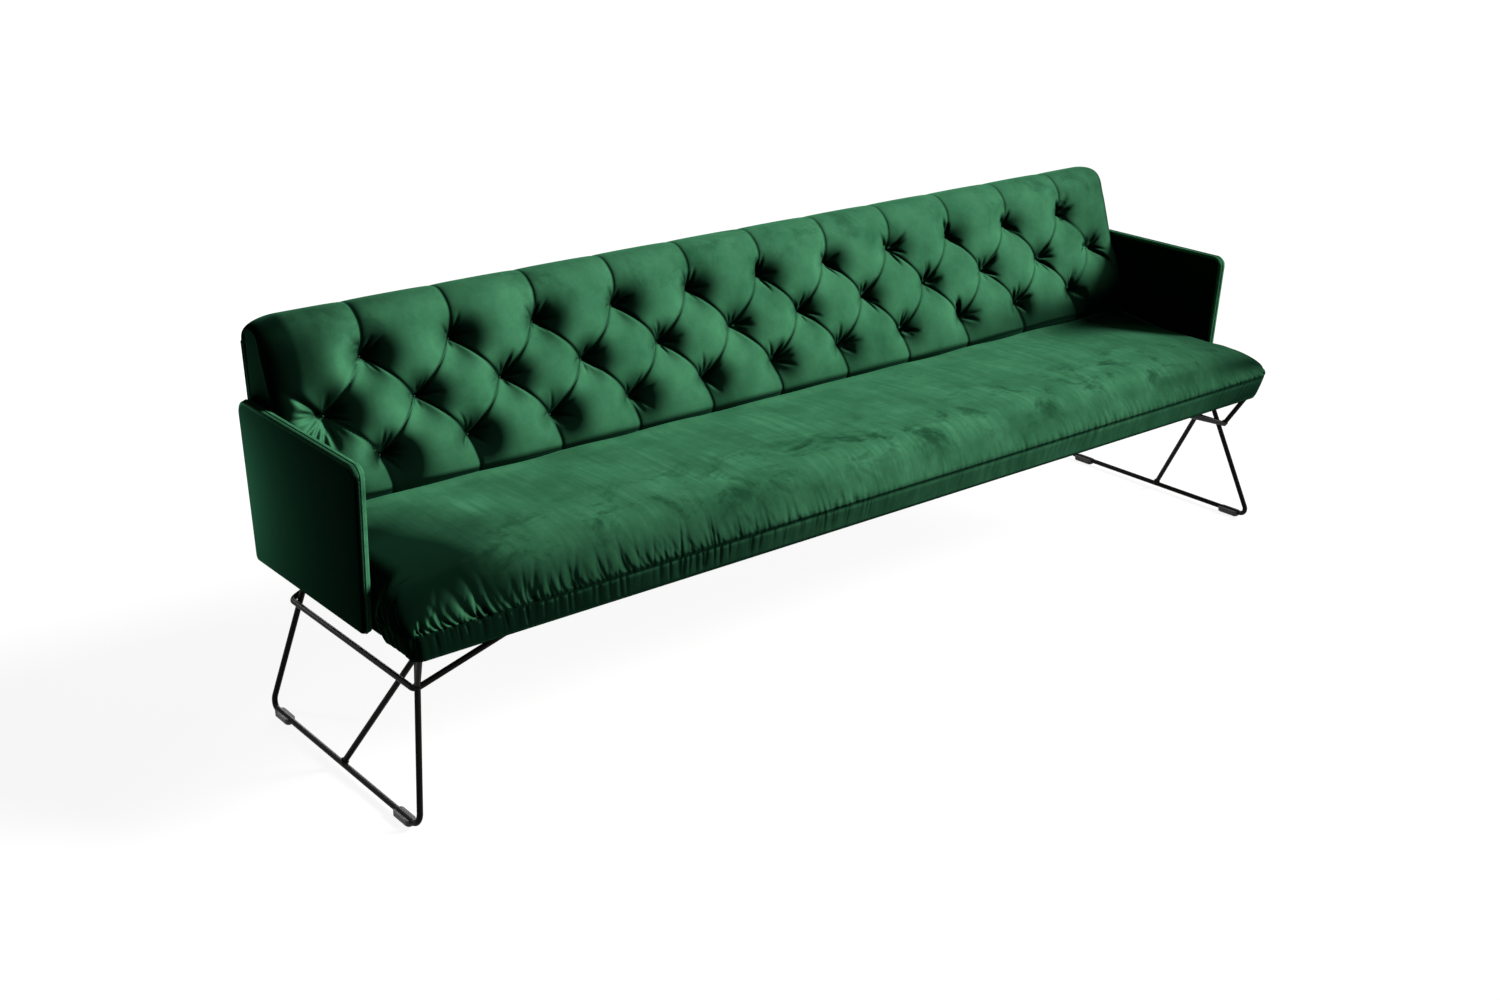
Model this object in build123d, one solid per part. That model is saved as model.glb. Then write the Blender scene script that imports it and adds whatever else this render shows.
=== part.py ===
from build123d import *
import os
from math import atan2, cos, hypot, radians, sin, sqrt, tan

# Upholstered dining bench: a long cushioned seat, a tufted reclined back and thin side arms
# on two legs of bent steel rod. Millimetres, +X to the sitter's left, -Y to the front, +Z up.
# The origin is on the floor under the middle of the bench.

# Overall sizes
arm_span = 2440.0          # over the outer faces of the arms
bench_depth = 658.0        # from the cushion's front bulge to the top of the rear panel
back_height = 847.0
seat_base = 340.0          # underside of the seat frame
seat_rise = 151.0          # seat cushion, from the frame's underside to its crown

# Clearances
soft_gap = 0.4             # between upholstery and its neighbours
weld_gap = 0.3             # between a rod and the rod that it is welded to
slip = 0.3                 # around screws, bolts and clips

# Leg rods
rod_d = 12.0
head_inset = 75.0          # uprights' heads, inwards from the arms' outer faces
head_front = 118.0         # front upright's head, behind the cushion's front bulge
head_rear = 108.0          # rear upright's head, in front of the rear panel's top
splay = 75.0               # how far an upright's foot stands out from its head
front_lean = 104.0         # front upright's lean to the rear
rear_lean = 82.0           # rear upright's lean to the front
foot_bend = 20.0           # bend radius at the floor
sole = 5.0                 # plastic under the floor bar
brace_setback = 304.0      # where the brace stands on the floor bar, behind its front corner
brace_head_in = 17.0       # brace head, inwards from the upright's head
brace_head_front = 13.0    # brace head, in front of the upright's head
loop_drop = 81.0           # side bar of the loop rod, under the mounting plates
loop_wrap = 1.2            # extra bend radius of the loop rod round an upright
strut_reach = 217.0        # how far the loop's struts run inwards as they rise
strut_splay = 26.0         # how far the struts' heads spread to the front and the rear
corner_out = 16.0          # corner strut's head, outwards from its foot
corner_front = 44.0        # corner strut's head, in front of the loop's front bend

# Mounting plates, screws and glides
plate_t = 4.0
plate_margin = 12.0        # plate edge beyond a rod's centre line
strut_plate_l = 80.0       # plate at the head of a loop strut
strut_plate_w = 32.0
screw_d = 4.5
screw_head_d = 9.0
screw_head_t = 3.0
screw_length = 26.0
screw_inset = 9.0
screw_slot_l = 5.0
screw_slot_w = 1.2
screw_slot_t = 1.5
glide_length = 60.0
glide_width = 22.0
glide_grip = 3.0           # how far a glide reaches above the bar's centre line
glide_gap = 2.0            # between a glide and the bend
glide_nose = 9.0           # rounding of a glide's ends

# Seat frame
rail_h = 36.0
front_rail_w = 48.0
rear_rail_w = 95.0
end_rail_w = 80.0
cross_rail_w = 90.0
deck_t = 10.0
border_t = 9.4             # padded border in front of the frame and at its ends
dust_t = 1.0
dust_inset = 5.0

# Seat cushion
seam_height = 42.0         # seam of the border above the seat's underside
hem_in = 18.0              # drawn-in hem behind the cushion's front bulge
roll_r = 72.0              # front roll of the cushion
crown_rise = 5.0           # crown above the top of the front roll
crown_setback = 239.0      # highest line of the crown, behind the front bulge
seat_join_in = 74.0        # where the cushion goes under the back, in front of the middle tufts
seat_join_drop = 11.0      # how far the cushion falls from the crown to the back
end_bulge = 24.0           # how far the cushion's ends stand out in front of the arms
end_roll = 74.0            # length over which the ends round off
end_drop = 58.0
end_pull = 26.0
end_lift = 2.0             # how far the end of the hem rises past the seam
foam_h = 80.0
foam_inset = 22.0

# Back
back_recline = 16.2
rear_recline = 2.6
tuft_line_in = 135.0       # middle row of tufts, in front of the rear panel's top
tuft_top_drop = 105.4      # top row of tufts, under the top of the back
tuft_low_rise = 69.4       # bottom row of tufts, above the back's lower edge
tuft_pitch = 200.0         # along the bench
tuft_long_row = 12         # tufts in the middle row, and one fewer above and below
tuft_depth = 32.0
tuft_mouth_r = 46.0
tuft_floor_r = 5.0
pleat_w = 42.0
pleat_depth = 13.0
tuft_padding = 14.0        # padding left behind a tuft
board_t = 10.0
back_bottom_gap = 2.0      # above the seat cushion
front_roll_r = 60.0
back_end_roll = 40.0       # length over which the back's ends round off
back_end_inset = 30.0
top_pad = 24.0
end_pad = 21.6
rear_panel_t = 8.0
rear_panel_drop = 57.0     # rear panel's top edge under the top of the back
post_w = 38.0
post_foot = 55.0           # depth of a post where it stands on the rear rail
top_rail_h = 28.0
top_rail_w = 34.0
tie_d = 3.0
anchor_d = 20.0
anchor_t = 3.0
post_screw_d = 6.0
post_screw_head_d = 11.0
post_screw_head_t = 4.0
post_screw_length = 90.0

# Arms
arm_t = 20.0
arm_core_t = 10.0
arm_drop = 3.0             # arm's bottom edge under the seat's underside
arm_rise = 185.0           # arm's top edge above the seat's crown
arm_setback_low = 178.0    # arm's front edge behind the cushion's front bulge, at the bottom
arm_setback_high = 155.0   # and at the top
arm_top_r = 28.0
arm_bottom_r = 14.0
welt_d = 5.0
bolt_d = 6.0
bolt_head_d = 13.0
bolt_head_t = 4.0
bolt_length = 60.0
bolt_rail_pitch = 170.0    # between the two bolts into the end rail
bolt_post_low = 100.0      # lower bolt into the end post, above the seat's underside
bolt_post_pitch = 180.0    # between the two bolts into the end post

# Places worked out from the sizes above
half = arm_span / 2
front_y = -bench_depth / 2
rear_top_y = bench_depth / 2
bar_z = sole + rod_d / 2
plate_z = seat_base - plate_t
loop_height = plate_z - loop_drop
rise = plate_z - bar_z
side_x = half - arm_t - soft_gap                 # ends of the seat cover and of the back cushion
frame_x = side_x - border_t
frame_front = front_y + hem_in + border_t
rail_top = seat_base + rail_h
deck_top = rail_top + deck_t
seam_z = seat_base + seam_height
seat_crown = seat_base + seat_rise
roll_top = seat_crown - crown_rise
crown_y = front_y + crown_setback
seat_join_z = seat_crown - seat_join_drop
back_bottom = seat_join_z + back_bottom_gap
lean = radians(back_recline)
rear_panel_top = back_height - rear_panel_drop
tuft_top_z = back_height - tuft_top_drop
tuft_low_z = back_bottom + tuft_low_rise
tuft_line_y = rear_top_y - tuft_line_in
tuft_line_z = (tuft_top_z + tuft_low_z) / 2
tuft_row = (tuft_top_z - tuft_low_z) / 2 / cos(lean)      # between rows, up the slope
seat_join_y = tuft_line_y - seat_join_in
arm_bottom = seat_base - arm_drop
arm_top = seat_crown + arm_rise
arm_front_low = front_y + arm_setback_low
arm_front_high = front_y + arm_setback_high


def rear_y(z):
    """Rear face of the bench at height z."""
    return rear_top_y - (rear_panel_top - z) * tan(radians(rear_recline))


def slope_y(z, forward):
    """Y at height z on the plane that lies forward of the tuft floors."""
    return tuft_line_y + (z - tuft_line_z) * tan(lean) - forward / cos(lean)


frame_rear = rear_y(seat_base) - rear_panel_t - soft_gap
seat_rear = frame_rear - post_foot - soft_gap
back_plane = Plane(
    origin=(0, tuft_line_y, tuft_line_z), x_dir=(1, 0, 0), z_dir=(0, -cos(lean), sin(lean))
)


def both(solid):
    """A right-hand piece and its mirror image."""
    return {"right": solid, "left": mirror(solid, about=Plane.YZ)}


def block(x0, x1, y0, y1, z0, z1):
    """Box between two corners."""
    middle = Pos((x0 + x1) / 2, (y0 + y1) / 2, (z0 + z1) / 2)
    return middle * Box(abs(x1 - x0), abs(y1 - y0), abs(z1 - z0))


def rod_path(points, radii):
    """Straight runs joined by tangent arcs."""
    points = [Vector(*p) for p in points]
    edges = []
    start = points[0]
    for before, corner, after, radius in zip(points, points[1:], points[2:], radii):
        back = (before - corner).normalized()
        ahead = (after - corner).normalized()
        half_turn = radians(back.get_angle(ahead)) / 2
        reach = radius / tan(half_turn)
        middle = corner + (back + ahead).normalized() * (radius / sin(half_turn) - radius)
        edges.append(Line(start, corner + back * reach))
        edges.append(ThreePointArc(corner + back * reach, middle, corner + ahead * reach))
        start = corner + ahead * reach
    edges.append(Line(start, points[-1]))
    return Wire(edges)


def rod(points, radii=(), diameter=rod_d):
    """Round rod along a path of runs and bends."""
    path = rod_path(points, radii)
    return sweep(Plane(path @ 0, z_dir=path % 0) * Circle(diameter / 2), path=path)


def below(solid, z):
    """The part of a solid under height z."""
    return split(solid, bisect_by=Plane.XY.offset(z), keep=Keep.BOTTOM)


def drill_up(places, diameter, z0, z1):
    """Upright cylinders at the given places."""
    return [Pos(x, y, (z0 + z1) / 2) * Cylinder(diameter / 2, z1 - z0) for x, y in places]


def group(solids):
    """Separate solids that share one node."""
    return Compound(children=[s for piece in solids for s in piece.solids()])


nodes = {}

# Right leg, mirrored for the left one.
# The sled lies in a plane that leans inwards, so its corners share two lines along Y.
head_x = half - head_inset
foot_x = head_x + splay
overrun = 1.05             # rods run past the plate and are then cut flush with it


def past_head(foot, head):
    """A rod's head, moved on along the rod so that it can be cut flush."""
    return tuple(f + (h - f) * overrun for f, h in zip(foot, head))


front_head = (head_x, front_y + head_front, plate_z)
rear_head = (head_x, rear_top_y - head_rear, plate_z)
foot_front = front_head[1] - front_lean
foot_rear = rear_head[1] + rear_lean
front_foot = (foot_x, foot_front, bar_z)
rear_foot = (foot_x, foot_rear, bar_z)
sled_points = [past_head(rear_foot, rear_head), rear_foot, front_foot, past_head(front_foot, front_head)]
sled = below(rod(sled_points, (foot_bend, foot_bend)), plate_z)
sled_clear = rod(sled_points, (foot_bend, foot_bend), rod_d + 2 * weld_gap)

brace_base = (foot_x, foot_front + brace_setback, bar_z)
brace_head = (head_x - brace_head_in, front_head[1] - brace_head_front, plate_z)
brace = below(rod([brace_base, past_head(brace_base, brace_head)]), plate_z) - sled_clear

# The loop rod's side bar lies against the outside of both uprights and wraps them at its bends.
climb = (loop_height - bar_z) / rise
wrap = rod_d + weld_gap + loop_wrap
tilt = hypot(splay, rise)
loop_x = foot_x - splay * climb + wrap * rise / tilt
loop_front = foot_front + front_lean * climb - wrap
loop_rear = foot_rear - rear_lean * climb + wrap
strut_x = loop_x - strut_reach
front_bend = (loop_x, loop_front, loop_height)
rear_bend = (loop_x, loop_rear, loop_height)
front_strut_head = (strut_x, loop_front - strut_splay, plate_z)
rear_strut_head = (strut_x, loop_rear + strut_splay, plate_z)
loop_points = [
    past_head(front_bend, front_strut_head), front_bend, rear_bend, past_head(rear_bend, rear_strut_head)
]
loop = below(rod(loop_points, (wrap, wrap)), plate_z)
loop_clear = rod(loop_points, (wrap, wrap), rod_d + 2 * weld_gap)

corner_base = (loop_x - wrap / 2, loop_front + wrap / 4, loop_height)
corner_head = (loop_x + corner_out - wrap / 2, loop_front - corner_front, plate_z)
corner_raw = below(rod([corner_base, past_head(corner_base, corner_head)]), plate_z)
corner_strut = (corner_raw - loop_clear - sled_clear).solids().sort_by(Axis.Z)[-1]

glide_top = bar_z + glide_grip
glide_box = block(-glide_width / 2, glide_width / 2, -glide_length / 2, glide_length / 2, 0, glide_top)
glide_box = fillet(glide_box.edges().filter_by(Axis.Z), glide_nose)
glide_box = chamfer(glide_box.faces().sort_by(Axis.Z)[0].edges(), sole / 2)
glide_bore = Pos(0, 0, bar_z) * Rot(90, 0, 0) * Cylinder(rod_d / 2 + slip, glide_length)


def glide_setback(upright_lean):
    """Glide's middle from the floor bar's corner, past the bend into an upright."""
    return foot_bend / tan(atan2(tilt, upright_lean) / 2) + glide_gap + glide_length / 2


glide_ys = (foot_front + glide_setback(front_lean), foot_rear - glide_setback(rear_lean))
glides = group([Pos(foot_x, y, 0) * (glide_box - glide_bore) for y in glide_ys])

# Plates, one at each head: x0, x1, y0, y1, with screws that leave room for the rods
end_post_x = side_x - end_pad - soft_gap
head_x0 = head_x - brace_head_in - plate_margin
front_plate = (head_x0, frame_x, frame_front, front_head[1] + plate_margin)
rear_plate = (head_x0, end_post_x, rear_head[1] - plate_margin, rear_head[1] + 2 * plate_margin)
strut_plates = [
    (strut_x - strut_plate_l / 2, strut_x + strut_plate_l / 2, y - strut_plate_w / 2, y + strut_plate_w / 2)
    for y in (front_strut_head[1], rear_strut_head[1])
]
plate_areas = [front_plate, rear_plate, *strut_plates]


def corners(x0, x1, y0, y1):
    """Screw places near the corners of a plate, the outer front corner first."""
    return [(x, y) for y in (y0 + screw_inset, y1 - screw_inset) for x in (x1 - screw_inset, x0 + screw_inset)]


screw_places = corners(*front_plate)[1:] + corners(*rear_plate)
for x0, x1, y0, y1 in strut_plates:
    screw_places += [(x0 + screw_inset, (y0 + y1) / 2), (x1 - screw_inset, (y0 + y1) / 2)]
screw_top = plate_z + screw_length
plate_holes = drill_up(screw_places, screw_d + 2 * slip, plate_z - plate_t, rail_top)
pilots = drill_up(screw_places, screw_d + 2 * slip, seat_base - plate_t, screw_top + slip)
pilots += [mirror(hole, about=Plane.YZ) for hole in pilots]
plates = group([block(*area, plate_z, seat_base) - plate_holes for area in plate_areas])
screw = Pos(0, 0, -screw_head_t / 2) * Cylinder(screw_head_d / 2, screw_head_t)
screw += Pos(0, 0, screw_length / 2) * Cylinder(screw_d / 2, screw_length)
screw -= Pos(0, 0, screw_slot_t / 2 - screw_head_t) * Box(screw_slot_l, screw_slot_w, screw_slot_t)
screws = group([Pos(x, y, plate_z) * screw for x, y in screw_places])

leg_pieces = {
    "sled_rod": sled, "brace_rod": brace, "loop_rod": loop, "corner_strut": corner_strut,
    "mounting_plates": plates, "plate_screws": screws, "floor_glides": glides,
}
for name, piece in leg_pieces.items():
    for side, solid in both(piece).items():
        nodes[f"{side}_{name}"] = solid

# Arm outline in the YZ plane, shared by the core, the pads and the welt.
arm_corners = [
    (arm_front_low, arm_bottom), (arm_front_high, arm_top),
    (rear_y(arm_top) - rear_panel_t / 2, arm_top), (rear_y(arm_bottom) - rear_panel_t / 2, arm_bottom),
]


def arm_panel(x0, x1, inset):
    """Arm-shaped panel between two X planes, smaller all round by inset."""
    outline = make_face(Polyline(*arm_corners, close=True))
    outline = fillet(outline.vertices().sort_by(Axis.Y)[:2], arm_bottom_r)
    outline = fillet(outline.vertices().sort_by(Axis.Y)[-2:], arm_top_r)
    if inset:
        outline = offset(outline, -inset)
    return extrude(Plane.YZ.offset(x0) * outline, amount=x1 - x0)


arm_in = half - arm_t
pad_t = (arm_t - arm_core_t) / 2
core_in = arm_in + pad_t
core_out = half - pad_t
bolt_post_zs = (seat_base + bolt_post_low, seat_base + bolt_post_low + bolt_post_pitch)
post_bolt_places = [(rear_y(z) - rear_panel_t - post_foot / 2, z) for z in bolt_post_zs]
rail_middle = (arm_front_low + frame_rear - rear_rail_w) / 2
rail_bolt_ys = (rail_middle - bolt_rail_pitch / 2, rail_middle + bolt_rail_pitch / 2)
rail_bolt_places = [(y, seat_base + rail_h / 2) for y in rail_bolt_ys]
bolt_places = rail_bolt_places + post_bolt_places


def drill_across(diameter, x0, x1):
    """Level cylinders at the arm's bolt places."""
    return [Pos((x0 + x1) / 2, y, z) * Rot(0, 90, 0) * Cylinder(diameter / 2, x1 - x0) for y, z in bolt_places]


bolt_tip = core_out - bolt_length
bolt_holes = drill_across(bolt_d + 2 * slip, bolt_tip - slip, core_out)
head_holes = drill_across(bolt_head_d + 2 * slip, core_out - bolt_head_t - slip, core_out)
shanks = drill_across(bolt_d, bolt_tip, core_out - bolt_head_t)
heads = drill_across(bolt_head_d, core_out - bolt_head_t, core_out - slip)
bolts = group([shank + head for shank, head in zip(shanks, heads)])
core = arm_panel(core_in, core_out, welt_d) - bolt_holes - head_holes
inner_pad = arm_panel(arm_in, core_in, 0) - bolt_holes
outer_pad = arm_panel(core_out, half, 0)
# The welt runs round the edge of the core, between the two pads.
welt = arm_panel(core_in + soft_gap, core_out - soft_gap, 0) - arm_panel(core_in, core_out, welt_d - soft_gap)
arm_pieces = {"arm_core": core, "arm_inner_pad": inner_pad, "arm_outer_pad": outer_pad, "arm_welt": welt,
              "arm_bolts": bolts}
for name, piece in arm_pieces.items():
    for side, solid in both(piece).items():
        nodes[f"{side}_{name}"] = solid
arm_holes = bolt_holes + [mirror(hole, about=Plane.YZ) for hole in bolt_holes]

# Seat frame: front and rear rails, end rails and cross rails between them, and a deck on top.
front_rail_back = frame_front + front_rail_w
rear_rail_front = frame_rear - rear_rail_w
between_tufts = (-3.75, -1.25, 1.25, 3.75)       # posts stand midway between two tufts, in pitches
posts_x = [place * tuft_pitch for place in between_tufts]
posts_x += [post_w / 2 - end_post_x, end_post_x - post_w / 2]
post_y = frame_rear - post_foot / 2
post_screw_top = rail_top + post_screw_length - rail_h
post_screw_places = [(x, post_y) for x in posts_x]
post_screw_holes = drill_up(post_screw_places, post_screw_d + 2 * slip, seat_base, post_screw_top + slip)
post_head_holes = drill_up(
    post_screw_places, post_screw_head_d + 2 * slip, seat_base, seat_base + post_screw_head_t + slip
)
nodes["seat_front_rail"] = block(-frame_x, frame_x, frame_front, front_rail_back, seat_base, rail_top) - pilots
rear_rail = block(-end_post_x, end_post_x, rear_rail_front, frame_rear, seat_base, rail_top)
nodes["seat_rear_rail"] = rear_rail - pilots - post_screw_holes - post_head_holes
end_rail = block(frame_x - end_rail_w, frame_x, front_rail_back, rear_rail_front, seat_base, rail_top)
end_rail = end_rail - pilots - bolt_holes
nodes["seat_end_rails"] = group(both(end_rail).values())
cross_xs = (strut_x, strut_x / 3, -strut_x / 3, -strut_x)
nodes["seat_cross_rails"] = group([
    block(x - cross_rail_w / 2, x + cross_rail_w / 2, front_rail_back, rear_rail_front, seat_base, rail_top)
    - pilots for x in cross_xs
])
nodes["seat_deck"] = block(-frame_x, frame_x, frame_front, seat_rear, rail_top, deck_top)
foam_front = frame_front + foam_inset
foam_x = frame_x - foam_inset
foam_rear = seat_rear - border_t
nodes["seat_foam"] = block(-foam_x, foam_x, foam_front, foam_rear, deck_top, deck_top + foam_h)
dust = block(-frame_x + dust_inset, frame_x - dust_inset, frame_front + dust_inset, frame_rear - dust_inset,
             seat_base - dust_t, seat_base)
windows = [
    block(x0 - slip, x1 + slip, y0 - slip, y1 + slip, plate_z, seat_base) for x0, x1, y0, y1 in plate_areas
]
windows += [mirror(window, about=Plane.YZ) for window in windows]
dust_screw_holes = drill_up(post_screw_places, post_screw_head_d, seat_base - plate_t, seat_base)
nodes["seat_dust_cover"] = dust - windows - dust_screw_holes

# Seat cover: sections across the bench, crowned in the middle and rolled off at both ends.
end_x = side_x + end_bulge


def seat_section(x, drop, pull, lift):
    """Section of the seat cushion at X: hem, seam, front roll, crown, rear."""
    base = seat_base + lift
    seam = max(seam_z, base + soft_gap)
    top = roll_top - drop
    radius = roll_r * (top - seam) / (roll_top - seam_z)
    foremost = front_y + pull
    centre_y = foremost + radius
    centre_z = top - radius
    seam_y = centre_y - sqrt(radius**2 - (seam - centre_z)**2)
    hem = Vector(x, foremost + hem_in, base)
    seam_point = Vector(x, seam_y, seam)
    roll_middle = Vector(x, centre_y - radius * cos(lean), centre_z + radius * sin(lean))
    roll_end = Vector(x, centre_y, top)
    crown = Vector(x, crown_y, top + crown_rise)
    join = Vector(x, seat_join_y, seat_join_z - drop)
    rear_top = Vector(x, seat_rear, seat_join_z - drop)
    rear_base = Vector(x, seat_rear, base)
    edges = [
        Line(hem, seam_point), ThreePointArc(seam_point, roll_middle, roll_end),
        ThreePointArc(roll_end, crown, join), Line(join, rear_top), Line(rear_top, rear_base),
        Line(rear_base, hem),
    ]
    return Face(Wire(edges))


end_steps = 5
right_sections = []
for i in range(end_steps + 1):
    turn = radians(90 * i / end_steps)
    fall = 1 - cos(turn)
    lift = (seam_height + end_lift) * max(0, (i - end_steps + 2) / 2)
    right_sections.append((end_x - end_roll * (1 - sin(turn)), end_drop * fall, end_pull * fall, lift))
sections = [(-x, *rest) for x, *rest in reversed(right_sections)] + right_sections
cushion = loft([seat_section(*section) for section in sections], ruled=True)
frame_space = block(
    -frame_x - soft_gap, frame_x + soft_gap, frame_front - soft_gap, bench_depth, 0, deck_top + soft_gap
)
foam_space = block(
    -foam_x - soft_gap, foam_x + soft_gap, foam_front - soft_gap, foam_rear + soft_gap,
    seat_base, deck_top + foam_h + soft_gap,
)
arm_space = Plane.YZ.offset(side_x) * make_face(Polyline(
    (arm_front_low - arm_bottom_r / 4, 0), (arm_front_high - soft_gap, arm_top), (bench_depth, arm_top),
    (bench_depth, 0), close=True,
))
arm_space = extrude(arm_space, amount=arm_t * 2)
seat_spaces = [frame_space, foam_space, arm_space, mirror(arm_space, about=Plane.YZ)]
nodes["seat_cover"] = cushion - seat_spaces - arm_holes

# Back: posts on the rear rail, a top rail, a reclined tuft board and a rear panel.
board_front = -tuft_padding
board_rear = board_front - board_t
rear_in = rear_panel_t + soft_gap
top_rail_top = back_height - top_pad - soft_gap
top_rail_base = top_rail_top - top_rail_h
post_top = top_rail_base
post_low = back_bottom + back_bottom_gap
post_outline = Polyline(
    (frame_rear - post_foot, rail_top), (rear_y(rail_top) - rear_in, rail_top),
    (rear_y(post_top) - rear_in, post_top), (slope_y(post_top, board_rear), post_top),
    (slope_y(post_low, board_rear), post_low), (frame_rear - post_foot, post_low), close=True,
)
post = extrude(Plane.YZ * make_face(post_outline), amount=post_w / 2, both=True)
nodes["back_posts"] = group([Pos(x, 0, 0) * post - post_screw_holes - arm_holes for x in posts_x])
post_screw = Pos(0, 0, post_screw_head_t / 2) * Cylinder(post_screw_head_d / 2, post_screw_head_t)
post_screw += Pos(0, 0, post_screw_length / 2) * Cylinder(post_screw_d / 2, post_screw_length)
nodes["back_post_screws"] = group([Pos(x, y, seat_base) * post_screw for x, y in post_screw_places])
top_rail_front = slope_y(top_rail_top, board_rear)
top_rail_rear = top_rail_front + top_rail_w
nodes["back_top_rail"] = block(
    -end_post_x, end_post_x, top_rail_front, top_rail_rear, top_rail_base, top_rail_top
)

# Tuft places in the back plane: x along the bench, v up the slope.
long_row = [(i - (tuft_long_row - 1) / 2) * tuft_pitch for i in range(tuft_long_row)]
short_row = [(i - (tuft_long_row - 2) / 2) * tuft_pitch for i in range(tuft_long_row - 1)]
tufts = [(x, v) for v in (-tuft_row, tuft_row) for x in short_row] + [(x, 0) for x in long_row]


def along_normal(diameter, low, high):
    """Round pegs at every tuft, square to the back plane."""
    middle = (low + high) / 2
    return [back_plane * Pos(x, v, middle) * Cylinder(diameter / 2, high - low) for x, v in tufts]


def slope_v(z, forward):
    """Distance up the slope where the plane that lies forward of the tufts reaches height z."""
    return (z - tuft_line_z - forward * sin(lean)) / cos(lean)


board_low = slope_v(post_low, board_front)
board_high = slope_v(top_rail_top, board_rear)
board = Pos(0, (board_low + board_high) / 2, board_front - board_t / 2)
board = back_plane * board * Box(2 * end_post_x, board_high - board_low, board_t)
nodes["back_tuft_board"] = below(board, top_rail_top) - along_normal(tie_d + 2 * slip, board_rear, board_front)
nodes["back_tuft_ties"] = group(along_normal(tie_d, board_rear + slip, -slip))
nodes["back_tie_anchors"] = group(along_normal(anchor_d, board_rear - anchor_t, board_rear))
rear_panel_low = seat_base + soft_gap
panel_outline = Polyline(
    (rear_y(rear_panel_low) - rear_panel_t, rear_panel_low), (rear_y(rear_panel_low), rear_panel_low),
    (rear_y(rear_panel_top), rear_panel_top), (rear_y(rear_panel_top) - rear_panel_t, rear_panel_top),
    close=True,
)
nodes["back_rear_panel"] = extrude(Plane.YZ * make_face(panel_outline), amount=end_post_x, both=True)

# Tufted cushion: front padding, top roll and padded ends round the frame of the back.
foot_front_y = frame_rear - post_foot + soft_gap
up_slope = Vector(0, sin(lean), cos(lean))


def back_section(x, inset):
    """Section of the back cushion at X, with its front and top drawn in by inset."""
    forward = tuft_depth - inset
    top = back_height - inset
    roll_z = top - front_roll_r * (1 - sin(lean))
    low_z = back_bottom + front_roll_r / 2
    face_low = Vector(x, slope_y(low_z, forward), low_z)
    face_high = Vector(x, slope_y(roll_z, forward), roll_z)
    apex = Vector(x, face_high.Y + front_roll_r * cos(lean), top)
    rear_roll = rear_y(top) - apex.Y
    rear_high = Vector(x, rear_y(top - rear_roll), top - rear_roll)
    bottom_front = Vector(x, face_low.Y + front_roll_r / 4, back_bottom)
    edges = [
        Line(face_low, face_high), TangentArc(face_high, apex, tangent=up_slope),
        TangentArc(apex, rear_high, tangent=(0, 1, 0)),
    ]
    rear_low = Vector(x, rear_y(rear_panel_low), rear_panel_low)
    foot_low = Vector(x, foot_front_y, rear_panel_low)
    foot_high = Vector(x, foot_front_y, back_bottom)
    edges += [Line(rear_high, rear_low), Line(rear_low, foot_low), Line(foot_low, foot_high)]
    edges += [Line(foot_high, bottom_front), TangentArc(face_low, bottom_front, tangent=up_slope * -1)]
    return Face(Wire(edges))


right_sections = []
for i in range(end_steps + 1):
    turn = radians(90 * i / end_steps)
    right_sections.append((side_x - back_end_roll * (1 - sin(turn)), back_end_inset * (1 - cos(turn))))
sections = [(-x, inset) for x, inset in reversed(right_sections)] + right_sections
back_form = loft([back_section(*section) for section in sections], ruled=True)

space_top = top_rail_top + soft_gap
lip_z = rear_panel_top + soft_gap
space_front = board_front + soft_gap
space_low = back_bottom - back_bottom_gap
frame_outline = Polyline(
    (foot_front_y - border_t, 0), (bench_depth, 0), (bench_depth, lip_z),
    (rear_y(lip_z) - rear_panel_t, lip_z),
    (rear_y(post_top) - rear_panel_t, post_top + soft_gap), (top_rail_rear + soft_gap, post_top + soft_gap),
    (top_rail_rear + soft_gap, space_top), (slope_y(space_top, space_front), space_top),
    (slope_y(space_low, space_front), space_low), (foot_front_y - border_t, space_low), close=True,
)
back_space = extrude(Plane.YZ * make_face(frame_outline), amount=end_post_x + soft_gap, both=True)

# Tufts are funnels down to the ties, and pleats run between them, over the top and down to the seat.
funnel_h = tuft_depth + pleat_depth
funnel_r = tuft_floor_r + (tuft_mouth_r - tuft_floor_r) * funnel_h / tuft_depth
funnels = [back_plane * Pos(x, v, funnel_h / 2) * Cone(tuft_floor_r, funnel_r, funnel_h) for x, v in tufts]


def pleat(start, end):
    """V-shaped pleat between two points of the back plane."""
    run = Vector(end[0] - start[0], end[1] - start[1], 0)
    along = (back_plane.x_dir * run.X + back_plane.y_dir * run.Y).normalized()
    origin = back_plane.from_local_coords(Vector(start[0], start[1], tuft_depth))
    section = Plane(origin, x_dir=back_plane.z_dir.cross(along), z_dir=along)
    vee = Polyline((-pleat_w, pleat_depth), (pleat_w, pleat_depth), (0, -pleat_depth), close=True)
    return extrude(section * make_face(vee), amount=run.length)


pleat_top = slope_v(back_height, tuft_depth)
pleat_bottom = slope_v(back_bottom, tuft_depth) - tuft_depth
pleats = []
for x in short_row:
    pleats.append(pleat((x, tuft_row), (x, pleat_top)))
    pleats.append(pleat((x, -tuft_row), (x, pleat_bottom)))
    for step in (-tuft_pitch / 2, tuft_pitch / 2):
        pleats.append(pleat((x, tuft_row), (x + step, 0)))
        pleats.append(pleat((x, -tuft_row), (x + step, 0)))
tie_holes = along_normal(tie_d + 2 * slip, -tuft_padding, tuft_depth)
back_cushion = back_form - back_space - arm_holes
nodes["back_cushion"] = back_cushion - [*funnels, *pleats, *tie_holes]

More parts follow.
